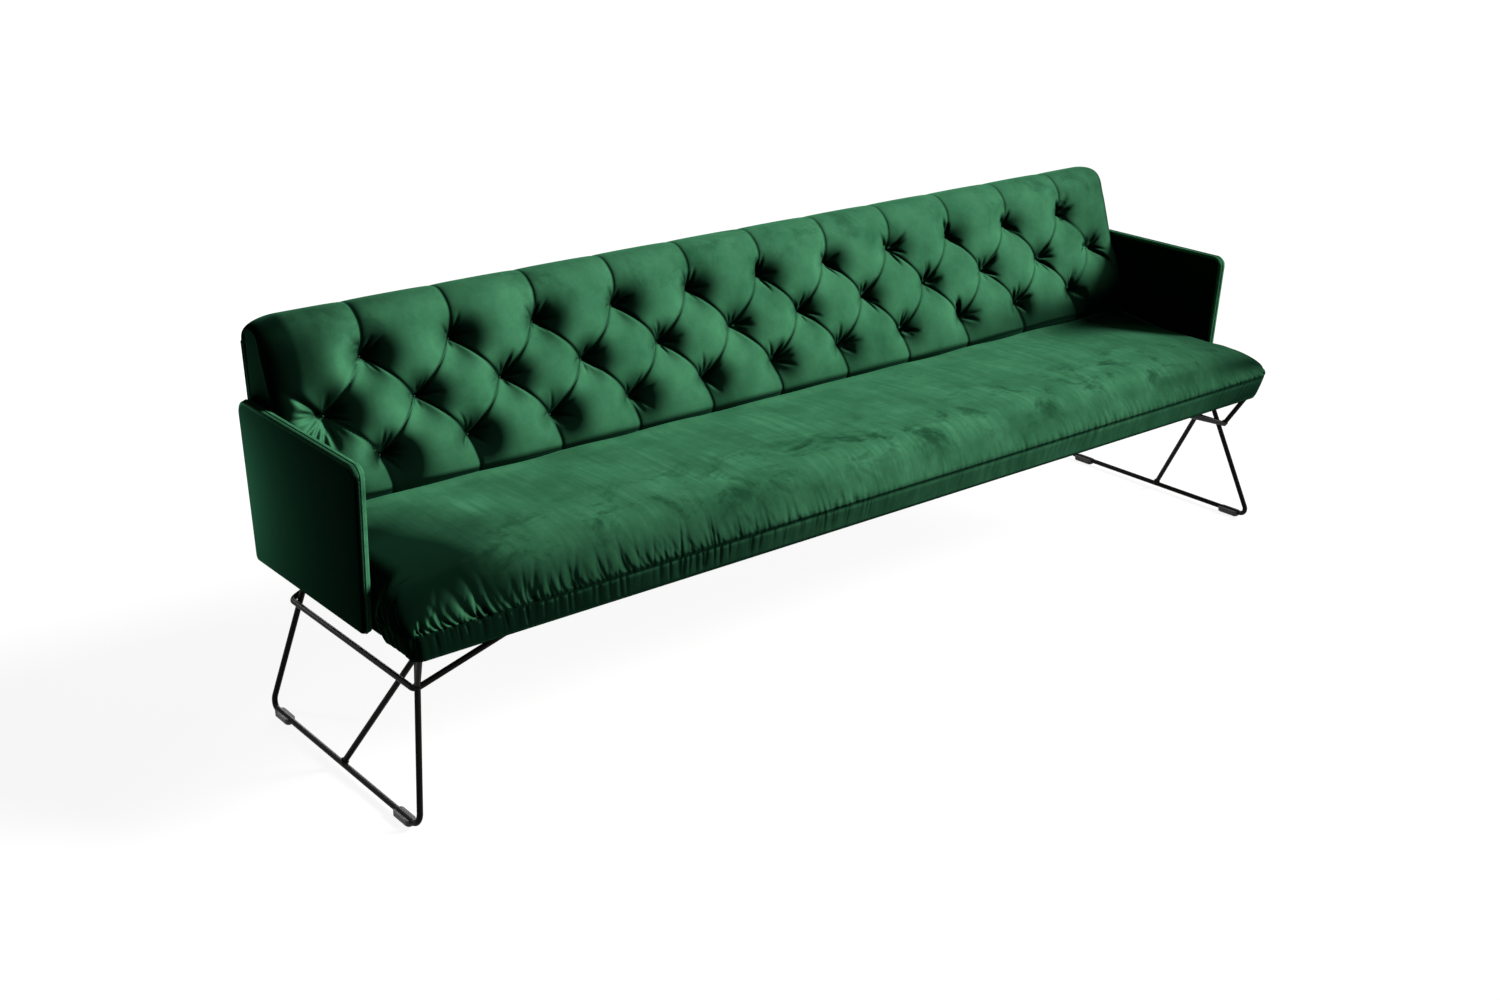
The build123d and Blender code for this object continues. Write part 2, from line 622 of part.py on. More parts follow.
os.makedirs("parts", exist_ok=True)
for name, piece in nodes.items():
    export_step(piece, f"parts/{name}.step")
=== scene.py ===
import math
from random import Random

import bmesh
import bpy
import numpy as np
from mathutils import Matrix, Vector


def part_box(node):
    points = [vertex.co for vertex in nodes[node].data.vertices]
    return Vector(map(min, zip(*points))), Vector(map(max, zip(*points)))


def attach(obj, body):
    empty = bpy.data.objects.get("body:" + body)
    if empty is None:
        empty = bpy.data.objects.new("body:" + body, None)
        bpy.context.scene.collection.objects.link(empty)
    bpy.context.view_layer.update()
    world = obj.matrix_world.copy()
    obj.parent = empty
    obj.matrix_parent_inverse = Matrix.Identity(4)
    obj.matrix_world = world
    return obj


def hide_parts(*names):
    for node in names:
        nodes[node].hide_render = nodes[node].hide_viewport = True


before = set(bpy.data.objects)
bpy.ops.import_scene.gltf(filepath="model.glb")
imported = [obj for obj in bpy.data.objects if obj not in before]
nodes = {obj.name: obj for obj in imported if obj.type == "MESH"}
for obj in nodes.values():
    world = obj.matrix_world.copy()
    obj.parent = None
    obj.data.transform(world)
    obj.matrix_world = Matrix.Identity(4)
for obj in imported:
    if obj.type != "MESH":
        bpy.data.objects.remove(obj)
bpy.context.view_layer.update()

# Leg rods and mounting plates: 12 mm mild steel rod, bent cold and welded where the rods meet,
# to each other and to the plates that screw under the seat, then powder coated satin black.
sides = {"left": -1, "right": 1}
mm = 0.001


def linear(hex_colour):
    """An sRGB hex colour as linear RGBA."""
    channels = [int(hex_colour[i:i + 2], 16) / 255 for i in (1, 3, 5)]
    return (*[c / 12.92 if c <= 0.04045 else ((c + 0.055) / 1.055) ** 2.4 for c in channels], 1)


def add(tree, kind, inputs=None, **settings):
    """A new node with its settings; each input is a value or the output that feeds it."""
    node = tree.nodes.new(kind)
    for name, value in settings.items():
        setattr(node, name, value)
    for key, value in (inputs or {}).items():
        if isinstance(value, bpy.types.NodeSocket):
            tree.links.new(value, node.inputs[key])
        else:
            node.inputs[key].default_value = value
    return node


def new_material(name):
    """An empty node material, its tree and the piece's own coordinates."""
    material = bpy.data.materials.new(name)
    material.use_nodes = True
    material.node_tree.nodes.clear()
    return material, material.node_tree, add(material.node_tree, "ShaderNodeTexCoord").outputs["Object"]


def per_mm(size):
    """Texture scale that makes one feature the given size in millimetres."""
    return 1 / (size * mm)


def two_tone(tree, pattern, dark, pale, relief, strength, depth, surface):
    """Ends a material: a tone between two colours, a relief of a depth in millimetres, and the surface."""
    tone = add(tree, "ShaderNodeMix", {0: pattern, 6: linear(dark), 7: linear(pale)}, data_type="RGBA")
    bump = add(tree, "ShaderNodeBump", {"Height": relief, "Strength": strength, "Distance": depth * mm})
    shader = add(tree, "ShaderNodeBsdfPrincipled", {
        "Base Color": tone.outputs[2], "Normal": bump.outputs[0], **surface,
    })
    add(tree, "ShaderNodeOutputMaterial", {"Surface": shader.outputs[0]})


def dress(material, *names):
    """Gives CAD nodes their finish."""
    for name in names:
        nodes[name].data.materials.clear()
        nodes[name].data.materials.append(material)


# Powder coat: baked polyester, satin, near black with a warm cast and a fine orange peel.
powder_coat, tree, place = new_material("powder_coat_black")
peel = add(tree, "ShaderNodeTexNoise", {"Vector": place, "Scale": per_mm(1.6), "Detail": 2.0})
cloud = add(tree, "ShaderNodeTexNoise", {"Vector": place, "Scale": per_mm(60), "Detail": 4.0})
two_tone(tree, cloud.outputs[0], "#040302", "#100C0A", peel.outputs[0], strength=0.15, depth=0.3,
         surface={"Roughness": 0.42, "IOR": 1.5, "Specular IOR Level": 0.05})
rods = ("sled_rod", "brace_rod", "loop_rod", "corner_strut", "mounting_plates")
dress(powder_coat, *[f"{side}_{rod}" for side in sides for rod in rods])

# Weld beads: fillets of weld metal round the rods' heads and round the feet of the brace rod and the
# corner strut, coated with the rods. A tree lays them along paths, a little unevenly.
bead = bpy.data.node_groups.new("bead_along_path", "GeometryNodeTree")
for name, kind in (("Path", "Geometry"), ("Radius", "Float"), ("Sides", "Int"), ("Unevenness", "Float"),
                   ("Grain", "Float"), ("Finish", "Material")):
    bead.interface.new_socket(name, in_out="INPUT", socket_type="NodeSocket" + kind)
bead.interface.new_socket("Bead", in_out="OUTPUT", socket_type="NodeSocketGeometry")
given = add(bead, "NodeGroupInput").outputs
curve = add(bead, "GeometryNodeMeshToCurve", {"Mesh": given["Path"]})
circle = add(bead, "GeometryNodeCurvePrimitiveCircle", {
    "Resolution": given["Sides"], "Radius": given["Radius"],
})
tube = add(bead, "GeometryNodeCurveToMesh", {
    "Curve": curve.outputs[0], "Profile Curve": circle.outputs[0], "Fill Caps": True,
})
where = add(bead, "GeometryNodeInputPosition")
ripple = add(bead, "ShaderNodeTexNoise", {"Vector": where.outputs[0], "Scale": given["Grain"], "Detail": 1.0})
centred = add(bead, "ShaderNodeVectorMath", {
    0: ripple.outputs["Color"], 1: (0.5, 0.5, 0.5),
}, operation="SUBTRACT")
shift = add(bead, "ShaderNodeVectorMath", {
    0: centred.outputs[0], "Scale": given["Unevenness"],
}, operation="SCALE")
moved = add(bead, "GeometryNodeSetPosition", {"Geometry": tube.outputs[0], "Offset": shift.outputs[0]})
smooth = add(bead, "GeometryNodeSetShadeSmooth", {"Geometry": moved.outputs[0]})
real = add(bead, "GeometryNodeRealizeInstances", {"Geometry": smooth.outputs[0]})
finished = add(bead, "GeometryNodeSetMaterial", {"Geometry": real.outputs[0], "Material": given["Finish"]})
add(bead, "NodeGroupOutput", {"Bead": finished.outputs[0]})


def in_scene(name, data):
    """A new object, put in the scene."""
    thing = bpy.data.objects.new(name, data)
    bpy.context.scene.collection.objects.link(thing)
    return thing


def lay_bead(name, paths, closed, radius, edge_count, unevenness, grain, finish):
    """A piece made of round beads along paths in millimetres."""
    points, edges = [], []
    for path in paths:
        start = len(points)
        points.extend(path)
        count = len(path)
        edges.extend((start + k, start + (k + 1) % count) for k in range(count if closed else count - 1))
    mesh = bpy.data.meshes.new(name)
    mesh.from_pydata((np.array(points) * mm).tolist(), edges, [])
    piece = in_scene(name, mesh)
    modifier = piece.modifiers.new("bead", "NODES")
    modifier.node_group = bead
    values = {
        "Radius": radius * mm, "Sides": edge_count, "Unevenness": unevenness * mm,
        "Grain": per_mm(grain), "Finish": finish,
    }
    for socket in bead.interface.items_tree:
        if socket.in_out == "INPUT" and socket.name in values:
            modifier[socket.identifier] = values[socket.name]
    seen = piece.evaluated_get(bpy.context.evaluated_depsgraph_get())
    piece.data = bpy.data.meshes.new_from_object(seen)
    piece.modifiers.clear()
    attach(piece, "root")
    return piece


def ring(centre, axis, radius):
    """Points of a circle round an axis."""
    axis = np.array(axis, float) / np.linalg.norm(axis)
    across = np.cross(axis, (0, 1, 0))
    across /= np.linalg.norm(across)
    up = np.cross(axis, across)
    turns = np.radians(np.linspace(0, 360, 20, endpoint=False))
    return [np.array(centre) + radius * (across * math.cos(t) + up * math.sin(t)) for t in turns]


# On the right: the rods' heads under the plates, and two rods with feet welded to another rod.
plate_z = 336
rod_heads = [(1145, -211), (1145, 221), (1128, -224), (959.7, -276.3), (959.7, 280.8), (1186, -294)]
brace_foot, brace_head = np.array([(1220, -11, 11), (1128, -224, plate_z)], float)
strut_foot, strut_head = np.array([(1170, -247, 255), (1186, -294, plate_z)], float)
brace_run = brace_head - brace_foot
strut_run = strut_head - strut_foot
for side, sign in sides.items():
    paths = [ring((x, y, plate_z - 0.6), (0, 0, 1), 7.4) for x, y in rod_heads]
    paths.append(ring(brace_foot + brace_run * 0.024, brace_run, 6.4))
    paths.append(ring(strut_foot + strut_run * 0.09, strut_run, 6.2))
    paths = [[point * (sign, 1, 1) for point in path] for path in paths]
    lay_bead(f"{side}_weld_beads", paths, closed=True, radius=2.1, edge_count=8, unevenness=1.4, grain=4,
             finish=powder_coat)

# Floor glides: black polyethylene clips, injection moulded and pushed onto the floor bars from below,
# so that the steel doesn't scratch the floor.

# Polyethylene: soft black with a fine moulded grain, a little paler where it is scuffed.
glide_plastic, tree, place = new_material("polyethylene_black")
grain = add(tree, "ShaderNodeTexNoise", {"Vector": place, "Scale": per_mm(0.8), "Detail": 3.0})
scuff = add(tree, "ShaderNodeTexNoise", {"Vector": place, "Scale": per_mm(9), "Detail": 5.0})
two_tone(tree, scuff.outputs[0], "#050505", "#1C1C1B", grain.outputs[0], strength=0.2, depth=0.2,
         surface={"Roughness": 0.5, "IOR": 1.51, "Specular IOR Level": 0.35})
dress(glide_plastic, "left_floor_glides", "right_floor_glides")

# Screws and bolts: zinc-plated steel. They hold the plates and the back's posts to the seat frame, and
# the arms to the seat frame and the back.

# Zinc plate: dull silver with the soft streaks of the plating barrel.
zinc_steel, tree, place = new_material("steel_zinc_plated")
streak = add(tree, "ShaderNodeTexNoise", {"Vector": place, "Scale": per_mm(2.5), "Detail": 5.0})
two_tone(tree, streak.outputs[0], "#85868A", "#CBCCC8", streak.outputs[0], strength=0.15, depth=0.1,
         surface={"Metallic": 1.0, "Roughness": 0.34})
dress(zinc_steel, "left_plate_screws", "right_plate_screws", "left_arm_bolts", "right_arm_bolts",
      "back_post_screws")

# Seat and back frame: planed spruce rails and posts, glued and screwed together. The upholstery hides
# nearly all of it.

# Spruce: pale straw with darker late-wood lines along the length.
spruce, tree, place = new_material("spruce_planed")
lengthwise = add(tree, "ShaderNodeMapping", {"Vector": place, "Scale": (0.05, 1, 1)})
lines = add(tree, "ShaderNodeTexWave", {
    "Vector": lengthwise.outputs[0], "Scale": per_mm(7) / 6, "Distortion": 5.0, "Detail": 3.0,
}, bands_direction="DIAGONAL")
two_tone(tree, lines.outputs["Fac"], "#C79C63", "#E7CB99", lines.outputs["Fac"], strength=0.15, depth=0.3,
         surface={"Roughness": 0.62, "IOR": 1.5})
dress(spruce, "seat_front_rail", "seat_rear_rail", "seat_end_rails", "seat_cross_rails", "back_posts",
      "back_top_rail")

# Boards: birch plywood, sawn and sanded, for the seat's deck, the tuft board and the cores of the arms.
# The deck lies on the rails, and the tuft board is drilled for its ties.

# Plywood: creamy, with the soft long figure of peeled veneer.
plywood, tree, place = new_material("birch_plywood")
lengthwise = add(tree, "ShaderNodeMapping", {"Vector": place, "Scale": (0.12, 1, 1)})
figure = add(tree, "ShaderNodeTexNoise", {
    "Vector": lengthwise.outputs[0], "Scale": per_mm(24), "Detail": 6.0,
})
two_tone(tree, figure.outputs[0], "#C99F68", "#F0D9B0", figure.outputs[0], strength=0.1, depth=0.2,
         surface={"Roughness": 0.55, "IOR": 1.5})
dress(plywood, "seat_deck", "back_tuft_board", "left_arm_core", "right_arm_core")

# Dust cover: black spun-bonded cloth, pulled over the underside of the frame and stapled along its front
# and rear edges. It has windows for the mounting plates, and sags a little between the cross rails.

# Spun-bonded cloth: matt black, with the small pressed dimples of its bonding roller.
dust_cloth, tree, place = new_material("spun_bonded_cloth_black")
dimples = add(tree, "ShaderNodeTexVoronoi", {"Vector": place, "Scale": per_mm(2.2)})
fibres = add(tree, "ShaderNodeTexNoise", {"Vector": place, "Scale": per_mm(0.9), "Detail": 4.0})
two_tone(tree, fibres.outputs[0], "#0D0D0D", "#2C2C2C", dimples.outputs["Distance"],
         strength=0.5, depth=0.3, surface={"Roughness": 0.95, "IOR": 1.45})


def ease(x, low, high):
    """Smooth step from 0 at low to 1 at high."""
    t = np.clip((x - low) / (high - low), 0, 1)
    return t * t * (3 - 2 * t)


dust_x, dust_front, dust_rear, dust_z = 1185.2, -296.6, 298.0, 339.5
dust_sag = 4.5
# Windows: near and far x, front and rear y, the same at both ends.
plate_windows = [(1115.7, 1190, -302, -198.7), (1115.7, 1180, 208.7, 245.3),
                 (919.4, 1000, -292.6, -260), (919.4, 1000, 264.5, 297.1)]
cross_rails = np.array([-1170, -959.7, -319.9, 319.9, 959.7, 1170])
window_xs = {sign * x for *pair, _, _ in plate_windows for x in pair for sign in sides.values()}
window_ys = {y for _, _, *pair in plate_windows for y in pair}
xs = {-dust_x, dust_x, *np.arange(-1180, 1181, 20.0)} | window_xs
ys = {dust_front, dust_rear, *np.arange(-290, 296, 15.0)} | window_ys
xs = np.array(sorted(x for x in xs if abs(x) <= dust_x))
ys = np.array(sorted(y for y in ys if dust_front <= y <= dust_rear))
points, faces = [], []
for x in xs:
    span = np.clip(np.searchsorted(cross_rails, x), 1, len(cross_rails) - 1)
    t = (x - cross_rails[span - 1]) / (cross_rails[span] - cross_rails[span - 1])
    sag = dust_sag * math.sin(math.pi * min(max(t, 0), 1)) ** 0.7
    points += [(x, y, dust_z - sag * ease(y, -255, -120) * (1 - ease(y, 60, 205))) for y in ys]
for i, x in enumerate((xs[1:] + xs[:-1]) / 2):
    for j, y in enumerate((ys[1:] + ys[:-1]) / 2):
        if not any(low < abs(x) < high and front < y < rear for low, high, front, rear in plate_windows):
            a = i * len(ys) + j
            faces.append((a, a + 1, a + len(ys) + 1, a + len(ys)))
mesh = bpy.data.meshes.new("seat_dust_sheet")
mesh.from_pydata((np.array(points) * mm).tolist(), [], faces)
shell = bmesh.new()
shell.from_mesh(mesh)
bmesh.ops.delete(shell, geom=[v for v in shell.verts if not v.link_faces], context="VERTS")
area = sum(face.calc_area() for face in shell.faces)
shell.to_mesh(mesh)
shell.free()
mesh.shade_smooth()
mesh.materials.append(dust_cloth)
dust_sheet = in_scene("seat_dust_sheet", mesh)
thicken = dust_sheet.modifiers.new("thickness", "SOLIDIFY")
thicken.thickness = 0.5 * mm
thicken.offset = 0
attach(dust_sheet, "root")
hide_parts("seat_dust_cover")

# Staples: zinc-plated steel wire, shot through the dust cover into the rails by hand, so that they stand
# a little unevenly. The bead tree lays the wire along each staple.
staple_half = 5
staple_leg = (0, 0, 3)
rng = Random(3)
staples = []
for x in np.arange(-920, 921, 40):
    for y in (dust_front + 6, dust_rear - 6):
        tilt = rng.uniform(-0.25, 0.25)
        run = np.array([math.cos(tilt), math.sin(tilt), 0]) * staple_half
        middle = np.array([x + rng.uniform(-4, 4), y + rng.uniform(-1, 1), dust_z - 0.6])
        staples.append([middle - run + staple_leg, middle - run, middle + run, middle + run + staple_leg])
lay_bead("seat_dust_staples", staples, closed=False, radius=0.55, edge_count=5, unevenness=0, grain=1,
         finish=zinc_steel)

# Seat foam: one block of polyurethane, cut to size, rounded over along its upper edges and glued on the
# deck. It is cut lower towards its ends.

# Polyurethane foam: cream, matt and open-celled. Its cells are drawn coarser than they are, to show.
foam, tree, place = new_material("polyurethane_foam")
cells = add(tree, "ShaderNodeTexVoronoi", {"Vector": place, "Scale": per_mm(1.8)})
two_tone(tree, cells.outputs["Distance"], "#CDBF93", "#F3EBCB", cells.outputs["Distance"],
         strength=0.6, depth=0.8, surface={"Roughness": 0.95, "IOR": 1.4})


def upholster(name, points, faces, finish, slot, fill, *replaced, painted_shading=None):
    """A padded piece from points in millimetres: closed, smooth, and in place of its CAD nodes."""
    mesh = bpy.data.meshes.new(name)
    mesh.from_pydata((np.asarray(points) * mm).tolist(), [], faces)
    if painted_shading is not None:
        attribute = mesh.attributes.new("painted_shading", "FLOAT", "POINT")
        attribute.data.foreach_set("value", painted_shading.astype(np.float32))
    shell = bmesh.new()
    shell.from_mesh(mesh)
    bmesh.ops.remove_doubles(shell, verts=shell.verts, dist=0.02 * mm)
    bmesh.ops.holes_fill(shell, edges=shell.edges)
    bmesh.ops.recalc_face_normals(shell, faces=shell.faces)
    shell.to_mesh(mesh)
    shell.free()
    mesh.shade_smooth()
    mesh.materials.append(finish)
    piece = in_scene(name, mesh)
    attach(piece, "root")
    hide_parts(*replaced)


def ring_faces(rows, columns):
    """Quads between neighbouring closed rows of points."""
    faces = []
    for row in range(rows - 1):
        low, high = row * columns, (row + 1) * columns
        for column in range(columns):
            after = (column + 1) % columns
            faces.append((low + column, low + after, high + after, high + column))
    return faces


def rounded(corners, radii, step):
    """Points and outward normals round a polygon with rounded corners, anticlockwise."""
    corners = [np.array(corner, float) for corner in corners]
    arcs = []
    for k, corner in enumerate(corners):
        back, ahead = [way / np.linalg.norm(way) for way in
                       (corners[k - 1] - corner, corners[(k + 1) % len(corners)] - corner)]
        half_angle = math.acos(back @ ahead) / 2
        reach = radii[k] / math.tan(half_angle)
        middle = corner + (back + ahead) / np.linalg.norm(back + ahead) * radii[k] / math.sin(half_angle)
        arcs.append((corner + back * reach, corner + ahead * reach, middle))
    points, normals = [], []
    for k, (start, end, middle) in enumerate(arcs):
        first = math.atan2(*(start - middle)[::-1])
        turn = (math.atan2(*(end - middle)[::-1]) - first + math.pi) % (2 * math.pi) - math.pi
        for t in np.linspace(0, 1, max(4, round(abs(turn) * radii[k] / step * 2))):
            way = np.array([math.cos(first + turn * t), math.sin(first + turn * t)])
            points.append(middle + way * radii[k])
            normals.append(way)
        run = arcs[(k + 1) % len(arcs)][0] - end
        count = round(np.linalg.norm(run) / step)
        for t in range(1, count):
            points.append(end + run * t / count)
            normals.append(normals[-1])
    return np.array(points), np.array(normals)


foam_side = 52.0           # upright part of its sides
foam_round = 22.0          # radius of its upper edges
foam_fall = 30.0           # how much lower its ends are
fall_from, fall_to = 940.0, 1168.0
(left, front, base), (right, rear, _) = [np.array(corner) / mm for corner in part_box("seat_foam")]
edge, edge_normal = rounded([(left, front), (right, front), (right, rear), (left, rear)], (40, 40, 6, 6), 20)
spine = np.column_stack([np.clip(edge[:, 0], left + 270, right - 270), np.zeros(len(edge))])
rows = []
for t, z in ((1, 0), (0.5, 0), (0, 0), (0, 0.33), (0, 0.67)):
    flat = edge + (spine - edge) * t
    rows.append(np.column_stack([flat, np.full(len(edge), base + foam_side * z)]))
for turn in np.radians(np.linspace(0, 90, 8)):
    flat = edge - edge_normal * foam_round * (1 - math.cos(turn))
    fall = foam_fall * ease(np.abs(flat[:, 0]), fall_from, fall_to)
    rows.append(np.column_stack([flat, base + foam_side + foam_round * math.sin(turn) - fall]))
for t in np.linspace(0, 1, 9)[1:]:
    across = flat + (spine - flat) * t
    fall = foam_fall * ease(np.abs(across[:, 0]), fall_from, fall_to)
    rows.append(np.column_stack([across, base + foam_side + foam_round - fall]))
faces = ring_faces(len(rows), len(edge))
upholster("seat_foam_block", np.concatenate(rows), faces, foam, "foam", 1.0, "seat_foam")

# Seat cushion: velvet over wadding and foam in one long pad with a rolled front and ends. The cover is
# gathered into a seam that runs round it, and the border under the seam is tacked below the frame.

# Velvet: cut pile in emerald. Brushing leaves streaks across the seat; darker patches lie near its front
# edge and along the back's top. Painted shade: faces that turn left, away from the key light, most of all
# at the left end, and faces that turn down or far to the right are mixed towards a near-black green, as are
# the places that a per-point attribute darkens; where it is below zero it paints highlights. The pile is
# drawn coarser than it is, so that it shows.
velvet, tree, place = new_material("velvet_emerald")
spot = add(tree, "ShaderNodeSeparateXYZ", {0: place}).outputs
combed = add(tree, "ShaderNodeMapping", {"Vector": place, "Scale": (1, 0.06, 0.25)})
streaks = add(tree, "ShaderNodeTexNoise", {
    "Vector": combed.outputs[0], "Scale": per_mm(13), "Detail": 3.0, "Roughness": 0.6,
})
clouds = add(tree, "ShaderNodeTexNoise", {
    "Vector": place, "Scale": per_mm(120), "Detail": 6.0, "Roughness": 0.65,
})
pile = add(tree, "ShaderNodeTexNoise", {"Vector": place, "Scale": per_mm(1.3), "Detail": 3.0})
combing = add(tree, "ShaderNodeMapRange", {
    "Value": spot[1], "From Min": 0.11, "From Max": 0.05, "To Min": 0.1, "To Max": 0.9,
})
patchy = add(tree, "ShaderNodeMapRange", {
    "Value": clouds.outputs[0], "From Min": 0.4, "From Max": 0.6, "To Min": 0.25,
})
combing = add(tree, "ShaderNodeMath", {0: combing.outputs[0], 1: patchy.outputs[0]}, operation="MULTIPLY")
streaks = add(tree, "ShaderNodeMath", {0: streaks.outputs[0], 1: 0.5}, operation="SUBTRACT")
nap = add(tree, "ShaderNodeMath", {
    0: streaks.outputs[0], 1: combing.outputs[0], 2: clouds.outputs[0],
}, operation="MULTIPLY_ADD")
nap = add(tree, "ShaderNodeMath", {0: pile.outputs[0], 1: 0.3, 2: nap.outputs[0]}, operation="MULTIPLY_ADD")
nap = add(tree, "ShaderNodeMapRange", {"Value": nap.outputs[0], "From Min": 0.36, "From Max": 0.92})
tone = add(tree, "ShaderNodeMix", {
    0: nap.outputs[0], 6: linear("#285A3D"), 7: linear("#46835E"),
}, data_type="RGBA")
smears = add(tree, "ShaderNodeMapping", {"Vector": place, "Scale": (0.7, 0.9, 0.6)})
smears = add(tree, "ShaderNodeTexNoise", {
    "Vector": smears.outputs[0], "Scale": per_mm(80), "Detail": 7.0, "Roughness": 0.68, "Distortion": 0.5,
})
smears = add(tree, "ShaderNodeMapRange", {
    "Value": smears.outputs[0], "From Min": 0.5, "From Max": 0.64, "To Max": 0.85,
})
forward = add(tree, "ShaderNodeMapRange", {"Value": spot[1], "From Min": -0.08, "From Max": -0.19})
above = add(tree, "ShaderNodeMapRange", {
    "Value": spot[2], "From Min": 0.43, "From Max": 0.475, "To Min": 0.3,
})
above = add(tree, "ShaderNodeMath", {0: forward.outputs[0], 1: above.outputs[0]}, operation="MULTIPLY")
upper = add(tree, "ShaderNodeMapRange", {"Value": spot[2], "From Min": 0.74, "From Max": 0.8, "To Max": 0.5})
patch_area = add(tree, "ShaderNodeMath", {0: above.outputs[0], 1: upper.outputs[0]}, operation="MAXIMUM")
smears = add(tree, "ShaderNodeMath", {0: smears.outputs[0], 1: patch_area.outputs[0]}, operation="MULTIPLY")
tone = add(tree, "ShaderNodeMix", {
    0: smears.outputs[0], 6: tone.outputs[2], 7: linear("#163C27"),
}, data_type="RGBA")
# Painted shade: lean grows as a face turns right, towards the key light, and falls towards the left end;
# outwards darkens faces that turn far right, and under darkens faces that turn down.
facing = add(tree, "ShaderNodeNewGeometry").outputs["Normal"]
facing = add(tree, "ShaderNodeSeparateXYZ", {0: facing}).outputs
left_end_shade = add(tree, "ShaderNodeMapRange", {
    "Value": spot[0], "From Min": -1.22, "From Max": -0.86, "To Min": -0.18, "To Max": 0.0,
}, interpolation_type="SMOOTHSTEP")
lean = add(tree, "ShaderNodeMath", {0: spot[0], 1: 0.13, 2: facing[0]}, operation="MULTIPLY_ADD")
lean = add(tree, "ShaderNodeMath", {0: lean.outputs[0], 1: left_end_shade.outputs[0]}, operation="ADD")
lean = add(tree, "ShaderNodeMapRange", {
    "Value": lean.outputs[0], "From Min": -0.48, "From Max": 0.0,
}, interpolation_type="SMOOTHSTEP")
outwards = add(tree, "ShaderNodeMapRange", {
    "Value": facing[0], "From Min": 0.3, "From Max": 0.8, "To Min": 1.0, "To Max": 0.15,
})
under = add(tree, "ShaderNodeMapRange", {"Value": facing[2], "From Min": -0.5, "From Max": 0.1})
painted_light_level = add(tree, "ShaderNodeMath", {0: lean.outputs[0], 1: outwards.outputs[0]}, operation="MULTIPLY")
painted_light_level = add(tree, "ShaderNodeMath", {0: painted_light_level.outputs[0], 1: under.outputs[0]}, operation="MULTIPLY")
# The per-point attribute adds painted shade where it is above zero and painted highlights where it is below
# zero.
shading_map = add(tree, "ShaderNodeAttribute", attribute_name="painted_shading")
painted_light_level = add(tree, "ShaderNodeMath", {
    0: painted_light_level.outputs[0], 1: shading_map.outputs["Fac"],
}, operation="SUBTRACT", use_clamp=True)
# The near-black green is the painted shade.
tone = add(tree, "ShaderNodeMix", {
    0: painted_light_level.outputs[0], 6: linear("#06170E"), 7: tone.outputs[2],
}, data_type="RGBA")
bump = add(tree, "ShaderNodeBump", {"Height": pile.outputs[0], "Strength": 0.4, "Distance": 0.5 * mm})
fabric = add(tree, "ShaderNodeBsdfPrincipled", {
    "Base Color": tone.outputs[2], "Roughness": 0.9, "IOR": 1.45, "Specular IOR Level": 0.0,
    "Sheen Weight": 0.25, "Sheen Roughness": 0.4, "Sheen Tint": linear("#4FA57A"), "Normal": bump.outputs[0],
})
add(tree, "ShaderNodeOutputMaterial", {"Surface": fabric.outputs[0]})

seat_front = -329.0
seat_rear = 246.0
rear_half = 1165.0         # half the length of the rear edge
seat_end = 1230.0          # free ends, in front of the arms
seat_end_arm = 1199.0      # ends that the arms hold
arm_edge = -172.0
step_y = -225.0            # where the ends have stepped out in front of the arms
hem_z = 340.6
seam_z = 395.0
crown_z = 491.0
end_roll = 52.0            # radius of the roll beside the arms and at the rear
front_roll = 86.0          # and of the free front and ends
hem_corner = 49.0          # radii of the front corners, seen from above
seam_corner = 27.0
top_corner = 100.0
spine_x = 1000.0           # half the line along the middle of the top
spine_y = -20.0
held_count, end_count, corner_count, front_count = 84, 110, 26, 860


def seat_ring(corner_r):
    """Plan of the cushion's bulge from the rear left round the front to the rear: points, normals."""
    corner_y = seat_front + corner_r
    corner_x = seat_end - corner_r
    ys = np.concatenate([
        np.linspace(seat_rear, step_y, held_count, endpoint=False),
        np.linspace(step_y, corner_y, end_count - held_count, endpoint=False),
    ])
    xs = seat_end_arm + (seat_end - seat_end_arm) * ease(-ys, -arm_edge, -step_y)
    turns = np.radians(np.linspace(0, 90, corner_count, endpoint=False))
    left = np.column_stack([-xs, ys])
    left_corner = np.column_stack([-corner_x - corner_r * np.cos(turns), corner_y - corner_r * np.sin(turns)])
    t = np.linspace(0, 1, front_count)
    front = np.column_stack([corner_x * (2 * (t + 0.3 * t * (t - 1)) - 1), np.full(front_count, seat_front)])
    rear = np.column_stack([np.linspace(rear_half, -rear_half, front_count), np.full(front_count, seat_rear)])
    flip = np.array([-1, 1])
    points = np.concatenate([left, left_corner, front, left_corner[::-1] * flip, left[::-1] * flip, rear])
    sideways = np.tile((-1.0, 0.0), (end_count, 1))
    turning = np.column_stack([-np.cos(turns), -np.sin(turns)])
    normals = np.concatenate([
        sideways, turning, np.tile((0.0, -1.0), (front_count, 1)), turning[::-1] * flip, sideways * flip,
        np.tile((0.0, 1.0), (front_count, 1)),
    ])
    return points, normals


def seat_top(x, y):
    """Height of the cushion's top: crowned from front to rear, sinking a little at the ends."""
    crown = crown_z - np.where(y < -90, 5 * ((y + 90) / 167) ** 2, 11 * ((y + 90) / 210) ** 2)
    sink = 27 * ease(np.abs(x), 930, 1215) * (1 - ease(y, -60, 110))
    pressed = 7 * np.exp(-(((y - 104) / 17) ** 2))
    lumps = 1.2 * np.sin(x / 61 + 0.6) * np.sin(y / 47 + x / 190) + 0.9 * np.sin(x / 37 + y / 58 + 2.1)
    return crown - sink + pressed + lumps


